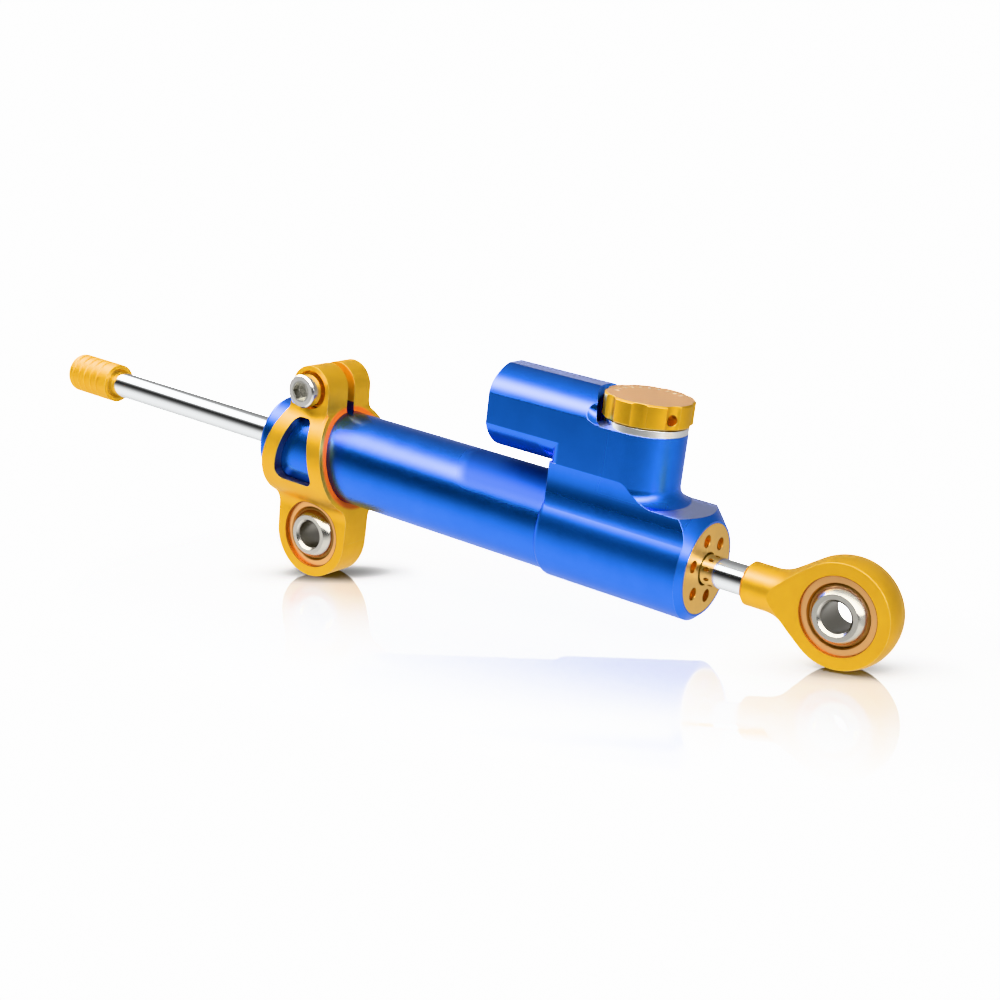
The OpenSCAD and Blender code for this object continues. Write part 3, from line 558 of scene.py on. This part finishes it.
@dataclass(frozen=True)
class Polymer(Finish):
    """Rubber or plastic: a dull skin with a mould's grain and a faint bloom.

    Attributes:
        grain: the mould's grain.
        bloom: how pale the bloom is.
        bloom_size: size of its patches.
        bloom_step: the noise where it starts, and where it is full.
        rough_spread: how much the roughness drifts with it.
    """

    grain: Grain = Grain(0.12 * MM, 2.0e-6)
    bloom: float = 0.15
    bloom_size: float = 3 * MM
    bloom_step: Range = (0.4, 0.8)
    rough_spread: float = 0.2

    def shader(self, graph: Graph, point: Term) -> Term:
        """The dull skin.

        Args:
            graph: the node tree.
            point: the shaded point.

        Returns:
            The shader.
        """
        drift = graph.noise(point, self.bloom_size, 4.0)
        pale = tuple(c + (0.5 - c) * self.bloom for c in self.colour)
        colour = graph.blend(drift.above(*self.bloom_step), self.colour, pale)
        relief = {"Strength": 1.0, "Distance": self.grain.depth, "Height": self.grain.height(graph, point)}
        normal = graph.add("ShaderNodeBump", {}, relief)
        roughness = (drift - 0.5) * self.rough_spread + self.roughness
        skin = {"Base Color": colour, "Roughness": roughness.clip(), "Normal": normal}
        return graph.add("ShaderNodeBsdfPrincipled", {}, skin)


BLUE: Colour = (0.065, 0.245, 0.960)
# Paler edge colours: rubbed edges, and a painted highlight along them.
BLUE_WEAR_AND_HIGHLIGHT: Colour = (0.330, 0.470, 0.950)
# Painted reflection tint: the tube is less green where it mirrors the gold clamp.
BLUE_REFLECTION_TINT: Colour = (0.072, 0.205, 0.920)
BLUE_SHADE: Colour = (0.030, 0.100, 0.420)
# Painted sheen for the head's faces that point up.
BLUE_UP_SHEEN: Colour = (0.500, 0.580, 0.950)
GOLD: Colour = (1.000, 0.555, 0.070)
# Paler gold for rubbed edges, and a painted highlight along them.
GOLD_PALE: Colour = (0.980, 0.800, 0.380)
ORANGE: Colour = (0.850, 0.170, 0.020)
SHADE: Colour = (0.200, 0.170, 0.190)
SEAT: Colour = (0.420, 0.130, 0.020)
TAN_GOLD: Colour = (0.950, 0.590, 0.180)
TAN: Colour = (0.960, 0.620, 0.360)
BRONZE: Colour = (0.960, 0.540, 0.240)
DARK_BRONZE: Colour = (0.720, 0.430, 0.200)
BRASS: Colour = (0.780, 0.550, 0.250)
SILVER: Colour = (0.900, 0.900, 0.890)
CHROME: Colour = (0.750, 0.760, 0.750)
BOLT_STEEL: Colour = (0.720, 0.710, 0.690)
# Painted shade in the bolt's hexagon socket.
SOCKET_SHADE: Colour = (0.500, 0.490, 0.450)
STEEL: Colour = (0.620, 0.610, 0.590)
BALL_STEEL: Colour = (0.610, 0.590, 0.540)
# Painted shade in the bearing balls' bores.
BORE_SHADE: Colour = (0.420, 0.400, 0.360)
SPRING_STEEL: Colour = (0.360, 0.350, 0.340)
NUMBER_PALE: Colour = (0.980, 0.930, 0.860)
CREAM: Colour = (0.780, 0.760, 0.700)
RUBBER_BLACK: Colour = (0.018, 0.018, 0.019)
TABLE_GREY: Colour = (0.860, 0.860, 0.865)
TABLE_WHITE: Colour = (0.880, 0.880, 0.880)
WHITE: Colour = (1.0, 1.0, 1.0)
BLACK: Colour = (0.0, 0.0, 0.0)


def middle_of(node: str) -> Point:
    """The middle of a node's box."""
    low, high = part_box(node)
    return tuple((low + high) / 2)


def ball_steel(name: str, centre: Point) -> Metal:
    """The bright turned steel of a bearing's ball, with painted shade in its bore.

    Args:
        name: the material's name.
        centre: the ball's centre.

    Returns:
        The finish.
    """
    # Painted shade: the bore is darker.
    bore = Zone(Axis.Y, centre, radius=4.1 * MM, colour=BORE_SHADE, roughness=0.3)
    lines = Turning(Axis.Y, centre, 0.18 * MM, 0.15e-6)
    return Metal(name, BALL_STEEL, 0.22, (lines,), rough_spread=0.05, zones=(bore,))


def seat_line(race: str) -> Zone:
    """The dark line round a pressed-in race: the space a little past its own radius.

    Args:
        race: the race's node.

    Returns:
        The zone, on the piece that holds the race.
    """
    low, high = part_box(race)
    past_race, blur = 0.12 * MM, 0.16 * MM
    radius = (high.x - low.x) / 2 + past_race
    return Zone(Axis.Y, middle_of(race), radius, soft=blur, colour=SEAT, metallic=0.5)


@dataclass
class SubAssembly:
    """Pieces that are mounted together.

    Attributes:
        title: the plain name used in the log.
        finishes: the finish of each CAD node that is carried over.
    """

    title: str = ""
    finishes: Dict[str, Finish] = field(default_factory=dict)

    def dress(self) -> None:
        """Gives every carried-over node its finish."""
        for node, finish in self.finishes.items():
            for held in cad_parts[node].material_slots:
                held.material = finish.material()
            LOG.info("%s: %s in %s", self.title, node, finish.name)

    def build(self) -> List[bpy.types.Object]:
        """Makes the pieces that the frame doesn't hold; there are none by default."""
        return []


@dataclass
class Barrel(SubAssembly):
    """The damper's tube and liner, its bushes and every rubber ring.

    Attributes:
        roughness: roughness of the tube.
        line_pitch: distance between the tube's tool lines.
        line_depth: their height.
    """

    title: str = "barrel"
    roughness: float = 0.25
    line_pitch: float = 0.22 * MM
    line_depth: float = 14e-6

    def __post_init__(self) -> None:
        """Fills in the finishes."""
        tube = Metal(
            "blue_turned",
            BLUE,
            self.roughness,
            (Turning(pitch=self.line_pitch, depth=self.line_depth),),
            edge_colour=BLUE_WEAR_AND_HIGHLIGHT,
            edge_wear=0.6,
            zones=(self._under_reservoir(), self._beside_clamp()),
        )
        honed = Metal("honed_steel", STEEL, 0.22, (Turning(pitch=0.2 * MM, depth=0.3e-6),))
        bush = Metal("bush_bronze", DARK_BRONZE, 0.3, (Turning(pitch=0.25 * MM),))
        ring = Polymer("black_rubber", RUBBER_BLACK, 0.55)
        self.finishes = {
            "barrel_tube": tube,
            "liner_tube": honed,
            "rear_bush": bush,
            "front_bush": bush,
            "liner_oring": ring,
            "spigot_oring": ring,
            "rear_rod_seal": ring,
            "gland_oring": ring,
            "front_rod_seal": ring,
            "plug_oring": ring,
            "spindle_oring": ring,
            "floater_oring": ring,
        }

    @staticmethod
    def _beside_clamp() -> Zone:
        """The stretch that mirrors the clamp's front, painted a little less green against that reflection."""
        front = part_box("clamp")[1].x
        return Zone(
            Axis.X, ORIGIN, radius=20 * MM, low=front - 2 * MM, high=front, soft=5 * MM, colour=BLUE_REFLECTION_TINT
        )

    @staticmethod
    def _under_reservoir() -> Zone:
        """The top of the tube in the shade of the reservoir."""
        return Zone(
            Axis.Z,
            (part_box("head_housing")[0].x + 8 * MM, 0.0, 0.0),
            radius=16 * MM,
            low=8.5 * MM,
            high=15 * MM,
            soft=4 * MM,
            colour=BLUE_SHADE,
            roughness=0.5,
        )


@dataclass
class Head(SubAssembly):
    """The milled head with its boss and reservoir, and the gland cap in its nose.

    Attributes:
        boss: a point of the boss's axis.
        rear: where the reservoir's rear end is along X.
    """

    title: str = "head"
    boss: Point = field(default_factory=lambda: middle_of("knob"))
    rear: float = field(default_factory=lambda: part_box("head_housing")[0].x)

    def __post_init__(self) -> None:
        """Fills in the finishes."""
        block = Metal(
            "blue_milled",
            BLUE,
            0.2,
            (Milling(), Grain(0.3 * MM, 0.2e-6)),
            rough_spread=0.05,
            edge=0.22 * MM,
            edge_colour=BLUE_WEAR_AND_HIGHLIGHT,
            edge_wear=0.8,
            # Painted sheen: the head's faces that point up are paler, standing in for the overhead light they
            # mirror.
            flat_colour=BLUE_UP_SHEEN,
            zones=self._zones(),
        )
        self.finishes = {
            "head_housing": block,
            "gland_cap": Metal("tan_gold_turned", TAN_GOLD, 0.34, (Turning(pitch=0.3 * MM, depth=0.6e-6),)),
            "reservoir_plug": Metal("plug_gold", GOLD, 0.5, (Turning(pitch=0.3 * MM),)),
            "plug_circlip": Metal("spring_steel", SPRING_STEEL, 0.32, (Grain(),)),
            "floating_piston": Metal("piston_alloy", SILVER, 0.3, (Turning(pitch=0.3 * MM),)),
        }

    def _zones(self) -> Tuple[Zone, ...]:
        """The parts of the block that aren't a bright milled face.

        Returns:
            The duller turned body and boss, the reservoir's shaded underside and the knob pocket's walls.
        """
        turned_body = Zone(Axis.X, ORIGIN, radius=14.8 * MM, soft=2 * MM, roughness=0.3)
        turned_boss = Zone(
            Axis.Z, self.boss, radius=11.5 * MM, low=15 * MM, high=31 * MM, soft=1.5 * MM, roughness=0.3
        )
        underside = Zone(
            Axis.Z,
            (self.rear + 6 * MM, 0.0, 0.0),
            radius=14 * MM,
            low=14 * MM,
            high=22 * MM,
            soft=1.8 * MM,
            colour=BLUE_SHADE,
            roughness=0.5,
        )
        pocket = Zone(
            Axis.Z,
            self.boss,
            radius=13.6 * MM,
            low=33 * MM,
            high=41 * MM,
            soft=0.4 * MM,
            facing=Facing.OTHER,
            middle=28 * MM,
            roughness=0.4,
            metallic=0.5,
        )
        return turned_body, turned_boss, underside, pocket


@dataclass
class Rod(SubAssembly):
    """The chromed rod with its piston, ribbed sleeve and rod end."""

    title: str = "rod"

    def __post_init__(self) -> None:
        """Fills in the finishes."""
        mirror_lines = Turning(pitch=0.12 * MM, depth=0.02e-6)
        race_lines = Turning(Axis.Y, pitch=0.25 * MM, depth=0.3e-6)
        sleeve = Metal(
            "gold_ribbed",
            GOLD,
            0.5,
            (Turning(pitch=0.35 * MM, depth=0.7e-6),),
            edge_colour=GOLD_PALE,
            edge_wear=0.8,
            metallic=0.9,
        )
        eye = Metal(
            "gold_satin",
            GOLD,
            0.4,
            (Grain(0.3 * MM, 0.4e-6),),
            edge_colour=GOLD_PALE,
            edge_wear=0.8,
            zones=(seat_line("rod_end_race"),),
            metallic=0.9,
        )
        self.finishes = {
            "piston_rod": Metal("hard_chrome", CHROME, 0.03, (mirror_lines,), rough_spread=0.02),
            "piston": Metal("turned_steel", STEEL, 0.28, (Turning(pitch=0.25 * MM),)),
            "piston_clips": Metal("clip_steel", SPRING_STEEL, 0.32, (Grain(),)),
            "piston_ring": Polymer("white_ptfe", CREAM, 0.4),
            "rear_sleeve": sleeve,
            "rod_end": eye,
            "rod_end_race": Metal("race_bronze", BRONZE, 0.3, (race_lines,)),
            "rod_end_ball": ball_steel("ball_steel", ORIGIN),
        }


@dataclass
class MountClamp(SubAssembly):
    """The split clamp with its pinch bolt, washer and lug bearing.

    Attributes:
        lug: the centre of the lug's bearing.
        bolt: a point of the pinch bolt's axis.
        socket_radius: radius that holds the bolt's hexagon socket, with its painted shade.
        bore_radius: radius to which the rims of the ring's bore are deep orange.
        window_radius: radius that holds the windows' walls.
    """

    title: str = "clamp"
    lug: Point = field(default_factory=lambda: middle_of("lug_race"))
    bolt: Point = field(default_factory=lambda: middle_of("pinch_bolt"))
    socket_radius: float = 2.95 * MM
    bore_radius: float = 14.4 * MM
    window_radius: float = 15.9 * MM

    def __post_init__(self) -> None:
        """Fills in the finishes."""
        ring = Metal(
            "gold_clamp",
            GOLD,
            0.42,
            (Grain(0.3 * MM, 0.4e-6),),
            edge_colour=GOLD_PALE,
            edge_wear=0.7,
            zones=self._zones(),
            metallic=0.9,
        )
        # Painted shade: the hexagon socket is darker.
        socket = Zone(Axis.Y, self.bolt, self.socket_radius, colour=SOCKET_SHADE)
        bolt_lines = Turning(Axis.Y, self.bolt, 0.2 * MM, 0.2e-6)
        washer_lines = Turning(Axis.Y, self.bolt, 0.25 * MM)
        race_lines = Turning(Axis.Y, self.lug, 0.25 * MM, 0.3e-6)
        self.finishes = {
            "clamp": ring,
            "pinch_bolt": Metal("bright_bolt", BOLT_STEEL, 0.2, (bolt_lines,), zones=(socket,)),
            "bolt_washer": Metal("washer_gold", TAN_GOLD, 0.3, (washer_lines,)),
            "lug_race": Metal("lug_bronze", BRONZE, 0.3, (race_lines,)),
            "lug_ball": ball_steel("lug_steel", self.lug),
        }

    def _zones(self) -> Tuple[Zone, ...]:
        """The parts of the ring and the lug that aren't plain gold.

        Returns:
            The windows' shaded walls, the orange rims of the bore and the line round the race.
        """
        low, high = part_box("clamp")
        middle = (low.x + high.x) / 2
        windows = Zone(Axis.X, ORIGIN, self.window_radius, facing=Facing.OTHER, middle=middle, colour=SHADE)
        rims = Zone(
            Axis.X,
            ORIGIN,
            self.bore_radius,
            soft=1.1 * MM,
            facing=Facing.OUTWARD,
            middle=middle,
            colour=ORANGE,
            roughness=0.5,
            metallic=0.25,
        )
        return windows, rims, seat_line("lug_race")


@dataclass
class Adjuster(SubAssembly):
    """The damping adjuster: knob, index ring, spindle and click parts.

    Attributes:
        axis: a point of the knob's axis.
        numbers: how many numbers the knob's top carries, from 0.
        number_r: radius of the circle they stand on.
        number_size: size of their type.
        number_rise: how far they stand out of it.
        first_angle: direction of the first from the knob's axis, in degrees.
        last_angle: direction of the last.
    """

    title: str = "adjuster"
    axis: Point = field(default_factory=lambda: middle_of("knob"))
    numbers: int = 10
    number_r: float = 8.6 * MM
    number_size: float = 1.9 * MM
    number_rise: float = 0.03 * MM
    first_angle: float = 203.0
    last_angle: float = 57.0

    def __post_init__(self) -> None:
        """Fills in the finishes."""
        centre = (self.axis[0], 0.0, 0.0)
        steel = Metal("spindle_steel", STEEL, 0.26, (Turning(Axis.Z, centre, 0.25 * MM),))
        knob = Metal(
            "knob_gold",
            GOLD,
            0.36,
            (Turning(Axis.Z, centre, 0.3 * MM, 0.4e-6),),
            edge_colour=GOLD_PALE,
            edge_wear=0.9,
            flat_colour=TAN,
            flat_roughness=0.5,
        )
        self.finishes = {
            "knob": knob,
            "index_ring": Metal("ring_alloy", SILVER, 0.25, (Turning(Axis.Z, centre, 0.25 * MM),)),
            "adjuster_spindle": steel,
            "spindle_gland": steel,
            "knob_set_screw": Metal("screw_brass", BRASS, 0.3, (Grain(),)),
            "detent_ball": steel,
            "detent_spring": steel,
        }

    def build(self) -> List[bpy.types.Object]:
        """Makes the plain numbers along the far edge of the knob's top.

        Returns:
            The one piece that holds them all.
        """
        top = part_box("knob")[1].z
        angles = np.radians(np.linspace(self.first_angle, self.last_angle, self.numbers))
        joined = bmesh.new()
        for number, angle in enumerate(angles):
            joined.from_mesh(self._digit(str(number), float(angle), top))
        mesh = bpy.data.meshes.new("knob_numbers")
        joined.to_mesh(mesh)
        joined.free()
        made = linked("knob_numbers", mesh)
        pale = Metal("number_pale", NUMBER_PALE, 0.4, (Grain(0.1 * MM, 0.3e-6),), edge=0.02 * MM)
        made.data.materials.append(pale.material())
        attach(made, "knob")
        return [made]

    def _digit(self, text: str, angle: float, top: float) -> bpy.types.Mesh:
        """One number as a thin mesh on the knob's top, with its head towards the rim.

        Args:
            text: the number.
            angle: its direction from the knob's axis, in radians.
            top: height of the knob's top.

        Returns:
            The mesh, already in its place.
        """
        curve = bpy.data.curves.new("number", "FONT")
        curve.body = text
        curve.size = self.number_size
        curve.align_x, curve.align_y = "CENTER", "CENTER"
        curve.extrude = self.number_rise
        holder = linked("number", curve)
        bpy.context.view_layer.update()
        mesh = bpy.data.meshes.new_from_object(holder.evaluated_get(bpy.context.evaluated_depsgraph_get()))
        bpy.data.objects.remove(holder)
        away = Vector((math.cos(angle), math.sin(angle), 0.0)) * self.number_r
        place = Vector((self.axis[0], 0.0, top)) + away
        mesh.transform(Matrix.Translation(place) @ Matrix.Rotation(angle - math.pi / 2, 4, "Z"))
        return mesh


@dataclass(frozen=True)
class Viewpoint:
    """The place and the lens of the photograph's camera.

    Attributes:
        place: the camera's place.
        right: direction of the picture's right edge.
        up: direction of the picture's top.
        back: direction from the object to the camera.
        focal_share: focal length as a share of the picture's width.
        sensor: width of the sensor in millimetres.
        nearest: closest point that it shows.
        farthest: farthest point that it shows.
    """

    place: Point = (0.1275, -0.3493, 0.1278)
    right: Point = (0.8103, 0.5757, 0.1097)
    up: Point = (-0.2544, 0.1769, 0.9508)
    back: Point = (0.5279, -0.7983, 0.2898)
    focal_share: float = 1.579
    sensor: float = 36.0
    nearest: float = 0.01
    farthest: float = 20.0

    def build(self) -> bpy.types.Object:
        """Makes the camera the scene's own.

        Returns:
            The camera object.
        """
        data = bpy.data.cameras.new("viewpoint")
        data.sensor_width = self.sensor
        data.lens = self.sensor * self.focal_share
        data.clip_start, data.clip_end = self.nearest, self.farthest
        camera = linked("viewpoint", data)
        columns = Matrix((self.right, self.up, self.back)).transposed()
        camera.matrix_world = Matrix.Translation(self.place) @ columns.to_4x4()
        bpy.context.scene.camera = camera
        return camera


@dataclass(frozen=True)
class Tent:
    """The soft panels round the object: one tube about X that shines inwards and that no view shows.

    A bright strip lies along its upper front, and a dark gap under it. Both climb towards the rear.

    Attributes:
        radius: radius of the tube.
        low_x: its rear end.
        high_x: its front end.
        rings: number of its rings.
        corners: number of points on a ring.
        stops: brightness of the panels at each angle, 0 towards -Y and 90 straight up, in degrees.
        top: a brightness over the highest of those.
        gap_climb: how far the panels are turned at the rear, in degrees.
        gap_reach: how far behind the strip's start that turn begins, and where it is full.
        strip_angle: angle of the strip's front end, in degrees.
        strip_climb: what the strip's angle gains, in degrees over the square of a metre.
        strip_width: half width of the strip's front end, in degrees.
        strip_spread: what that gains in degrees over a metre.
        strip_peak: brightness of the strip's middle.
        strip_start: where the strip starts to climb.
        dip: share of the strip's brightness that is missing where the barrel mirrors it.
        dip_x: middle of that stretch.
        dip_reach: its half length.
        mirrored_white: brightness of tent and room in the table's mirror image.
        seen_white: brightness of the room behind everything.
        room: brightness of the room as a light.
    """

    radius: float = 0.32
    low_x: float = -1.2
    high_x: float = 0.9
    rings: int = 8
    corners: int = 72
    stops: Tuple[Range, ...] = (
        (-180, 0.48),
        (-150, 0.78),
        (-105, 0.95),
        (-80, 1.15),
        (-60, 1.25),
        (-42, 1.15),
        (-28, 0.95),
        (-18, 0.75),
        (-8, 0.36),
        (2, 0.13),
        (14, 0.05),
        (30, 0.05),
        (60, 0.60),
        (92, 0.75),
        (108, 0.55),
        (130, 0.36),
        (155, 0.33),
        (180, 0.48),
    )
    top: float = 1.3
    gap_climb: float = 14.0
    gap_reach: Range = (0.16, 0.42)
    strip_angle: float = 54.5
    strip_climb: float = 200.0
    strip_width: float = 9.8
    strip_spread: float = 28.0
    strip_peak: float = 13.0
    strip_start: float = -0.167
    dip: float = 0.63
    dip_x: float = -0.39
    dip_reach: float = 0.075
    mirrored_white: float = 5.0
    seen_white: float = 6.0
    room: float = 0.8

    def build(self) -> bpy.types.Object:
        """Makes the tube, p(u, a) = (u, -R cos a, R sin a), and the plain room outside it.

        Returns:
            The tube.
        """
        turn = np.linspace(-np.pi, np.pi, self.corners, endpoint=False)
        along = np.linspace(self.low_x, self.high_x, self.rings)
        x, a = np.meshgrid(along, turn, indexing="ij")
        tube = Surface.from_rings(
            "tent", np.stack([x, -self.radius * np.cos(a), self.radius * np.sin(a)], axis=-1)
        )
        tube.data.materials.append(self._material())
        tube.visible_camera = False
        tube.visible_shadow = False
        tube.visible_transmission = False
        self._room()
        return tube

    def _material(self) -> bpy.types.Material:
        """Brightness = panels(a) + peak * exp(-((a - c) / w)**2), with the strip's middle c and half width w.

        With q the distance behind the strip's start, c = angle + climb * q**2 and w = width + spread * q.
        The peak is lower round the dip, and the panels turn with the gap's climb. The table's own mirror
        image sees plain white instead.

        Returns:
            The material.
        """
        made = bpy.data.materials.new("soft_panels")
        made.use_nodes = True
        graph = Graph(made.node_tree)
        x, y, z = graph.split(graph.place())
        angle = z.angle_over(-y) * (180.0 / math.pi)
        behind = (self.strip_start - x).at_least(0.0)
        climbed = behind.above(*self.gap_reach) * self.gap_climb
        stops = [((a + 180.0) / 360.0, (v / self.top,) * 3) for a, v in self.stops]
        panels = graph.add("ShaderNodeValToRGB", {"stops": stops}, {"Fac": (angle - climbed + 180.0) / 360.0})
        level = graph.add("ShaderNodeRGBToBW", {}, {0: panels}) * self.top
        middle = behind * behind * self.strip_climb + self.strip_angle
        off = (angle - middle) / (behind * self.strip_spread + self.strip_width)
        aside = (x - self.dip_x) / self.dip_reach
        peak = (1.0 - (-(aside * aside)).exp() * self.dip) * self.strip_peak
        lit = level + (-(off * off)).exp() * peak
        mirrored = graph.add("ShaderNodeLightPath", {}, {}, "Is Singular Ray")
        light = lit + mirrored * (self.mirrored_white - lit)
        graph.finish(graph.add("ShaderNodeEmission", {}, {"Color": light, "Strength": 1.0}))
        return made

    def _room(self) -> None:
        """Fills the world: plain white for the camera and the table's mirror image, soft for the rest."""
        world = bpy.data.worlds.new("room")
        bpy.context.scene.world = world
        world.use_nodes = True
        graph = Graph(world.node_tree)
        seen = graph.add("ShaderNodeLightPath", {}, {}, "Is Camera Ray")
        mirrored = graph.add("ShaderNodeLightPath", {}, {}, "Is Singular Ray")
        light = seen * (self.seen_white - self.room) + self.room
        light = light + mirrored * (self.mirrored_white - self.room)
        graph.finish(graph.add("ShaderNodeBackground", {}, {"Color": light, "Strength": 1.0}))


@dataclass(frozen=True)
class Table:
    """The pale tabletop under the eye and the lug, and the soft lamp that lights it from above.

    Attributes:
        half_length: half of its length.
        half_width: half of its width.
        rings: number of its rings.
        corners: number of points on a ring.
        fade: share of it, from the middle, where it starts to fade, and where it is gone.
        grain: size of the mottle in its white.
        shine: share of light mirrored beside the contacts.
        shine_reach: how far across the table, from the contacts, the mirror image has faded out.
        glow: what the top shines by itself where it mirrors nothing.
        shade: how deep the painted shadow at the eye is, as a power of e.
        lug_shade: what that power is multiplied by at the lug.
        shade_long: half length of each shadow.
        shade_short: half width of each shadow.
        shade_shift: how far its middle lies ahead of the contact.
        shade_angle: direction of its length, from X towards Y, in degrees.
        shade_height: how close above a piece is where there is such a shadow.
        shade_cover: share of the sky that this piece has to hide for the full shadow.
        lamp_power: power of the lamp in watts.
        lamp_height: height of the lamp over the table.
        lamp_size: width of the lamp.
    """

    half_length: float = 0.175
    half_width: float = 0.110
    rings: int = 12
    corners: int = 96
    fade: Range = (0.78, 0.99)
    grain: float = 4 * MM
    shine: float = 0.64
    shine_reach: float = 0.095
    glow: float = 6.0
    shade: float = 1.9
    lug_shade: float = 1.45
    shade_long: float = 23 * MM
    shade_short: float = 11 * MM
    shade_shift: float = 3 * MM
    shade_angle: float = 35.0
    shade_height: float = 22 * MM
    shade_cover: float = 0.03
    lamp_power: float = 4.8
    lamp_height: float = 0.7
    lamp_size: float = 0.6

    def contacts(self) -> Tuple[Vector, Vector]:
        """Where the table touches the eye and the lug: the lower tangent of two circles in XZ.

        Returns:
            The points under the eye and under the lug.
        """
        lug = Vector(middle_of("lug_race"))
        eye_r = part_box("rod_end")[1].x
        lug_r = lug.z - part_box("clamp")[0].z
        turn = math.atan2(-lug.z, -lug.x) - math.asin((eye_r - lug_r) / math.hypot(lug.x, lug.z))
        down = Vector((math.sin(turn), 0.0, -math.cos(turn)))
        return down * eye_r, Vector((lug.x, 0.0, lug.z)) + down * lug_r

    def build(self) -> bpy.types.Object:
        """Makes the tabletop and its lamp.

        The disc is p(s, t) = middle + s * (a cos t, b sin t) in the tilted plane, s from 0 to 1.

        Returns:
            The tabletop.
        """
        eye, lug = self.contacts()
        along = (eye - lug).normalized()
        up = Vector((-along.z, 0.0, along.x))
        middle = (eye + lug) / 2
        s = np.linspace(0.0, 1.0, self.rings + 1)[1:, None, None]
        t = np.linspace(0.0, 2.0 * np.pi, self.corners, endpoint=False)[None, :, None]
        ahead = self.half_length * np.cos(t) * np.array(along)
        aside = self.half_width * np.sin(t) * np.array((0.0, 1.0, 0.0))
        top = Surface.from_rings("tabletop", np.array(middle) + s * (ahead + aside), np.array(middle))
        top.data.materials.append(self._material(eye, lug))
        top.visible_glossy = False
        top.visible_diffuse = False
        top.visible_transmission = False
        self._lamp(middle + up * self.lamp_height, up)
        return top

    def _shadow(self, graph: Graph, point: Term, contacts: Tuple[Vector, Vector]) -> Term:
        """What the painted shadows leave: exp(-k * sum of exp(-(a / p)**2 - (b / q)**2) over the contacts).

        Here a and b are the distances from a contact along the shadow's length and across. It shows only
        while a piece is close above, so it goes when the joints carry the eye or the lug away.

        Args:
            graph: the node tree.
            point: the shaded point.
            contacts: the points under the eye and under the lug.

        Returns:
            The share of light that is left.
        """
        turn = math.radians(self.shade_angle)
        ahead_way = (math.cos(turn), math.sin(turn), 0.0)
        side_way = (-math.sin(turn), math.cos(turn), 0.0)
        dark: Value = 0.0
        for contact, weight in zip(contacts, (1.0, self.lug_shade)):
            away = graph.vector("SUBTRACT", point, tuple(contact))
            a = (graph.dot(away, ahead_way) - self.shade_shift) / self.shade_long
            b = graph.dot(away, side_way) / self.shade_short
            dark = (-(a * a + b * b)).exp() * weight + dark
        sky = graph.add("ShaderNodeAmbientOcclusion", {"samples": 32}, {"Distance": self.shade_height}, "AO")
        return (dark * (1.0 - sky).above(0.0, self.shade_cover) * -self.shade).exp()

    def _material(self, eye: Vector, lug: Vector) -> bpy.types.Material:
        """White, faintly mirroring in front of the contacts, and gone towards its edge and from below.

        Args:
            eye: the point under the eye.
            lug: the point under the lug.

        Returns:
            The material.
        """
        made = bpy.data.materials.new("white_table")
        made.use_nodes = True
        graph = Graph(made.node_tree)
        point = graph.place()
        # Painted shadows under the eye and the lug darken the white.
        left = self._shadow(graph, point, (eye, lug))
        local = graph.vector("SUBTRACT", point, tuple((eye + lug) / 2))
        across = graph.split(local)[Axis.Y.value]
        ahead = graph.dot(local, tuple((eye - lug).normalized()))
        near = 1.0 - abs(across).above(0.0, self.shine_reach)
        radius = ((across / self.half_width) ** 2.0 + (ahead / self.half_length) ** 2.0) ** 0.5
        behind = graph.add("ShaderNodeNewGeometry", {}, {}, "Backfacing")
        gone = (radius.above(*self.fade) + behind).clip()
        white = graph.blend(graph.noise(point, self.grain, 3.0), TABLE_GREY, TABLE_WHITE)
        matt = graph.add("ShaderNodeBsdfDiffuse", {}, {"Color": graph.blend(left, BLACK, white)})
        glow = (1.0 - near) ** 2.0 * left * self.glow
        light = graph.add("ShaderNodeEmission", {}, {"Color": glow, "Strength": 1.0})
        base = graph.add("ShaderNodeAddShader", {}, {0: matt, 1: light})
        sharp = graph.add("ShaderNodeBsdfGlossy", {}, {"Color": (*WHITE, 1.0), "Roughness": 0.0})
        body = graph.add("ShaderNodeMixShader", {}, {0: near * left * self.shine, 1: base, 2: sharp})
        clear = graph.add("ShaderNodeBsdfTransparent")
        graph.finish(graph.add("ShaderNodeMixShader", {}, {0: gone, 1: body, 2: clear}))
        return made

    def _lamp(self, place: Vector, up: Vector) -> None:
        """Hangs a wide soft lamp that the metal doesn't mirror.

        Args:
            place: the lamp's middle.
            up: the direction away from the table.
        """
        data = bpy.data.lights.new("table_lamp", "AREA")
        data.shape = "DISK"
        data.size = self.lamp_size
        data.energy = self.lamp_power
        lamp = linked("table_lamp", data)
        lamp.matrix_world = Matrix.Translation(place) @ up.to_track_quat("Z", "Y").to_matrix().to_4x4()
        lamp.visible_glossy = False


def main() -> None:
    """Builds the sub-assemblies, the studio and the camera in order."""
    logging.basicConfig(level=logging.INFO, format="%(name)s: %(message)s")
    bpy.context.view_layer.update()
    for assembly in (Barrel(), Head(), Rod(), MountClamp(), Adjuster()):
        assembly.dress()
        for piece in assembly.build():
            LOG.info("%s: made %s", assembly.title, piece.name)
    for setting in (Viewpoint(), Table(), Tent()):
        LOG.info("studio: made %s", setting.build().name)
    view = bpy.context.scene.view_settings
    view.view_transform = "Khronos PBR Neutral"
    view.look = "None"


if __name__ == "__main__":
    main()
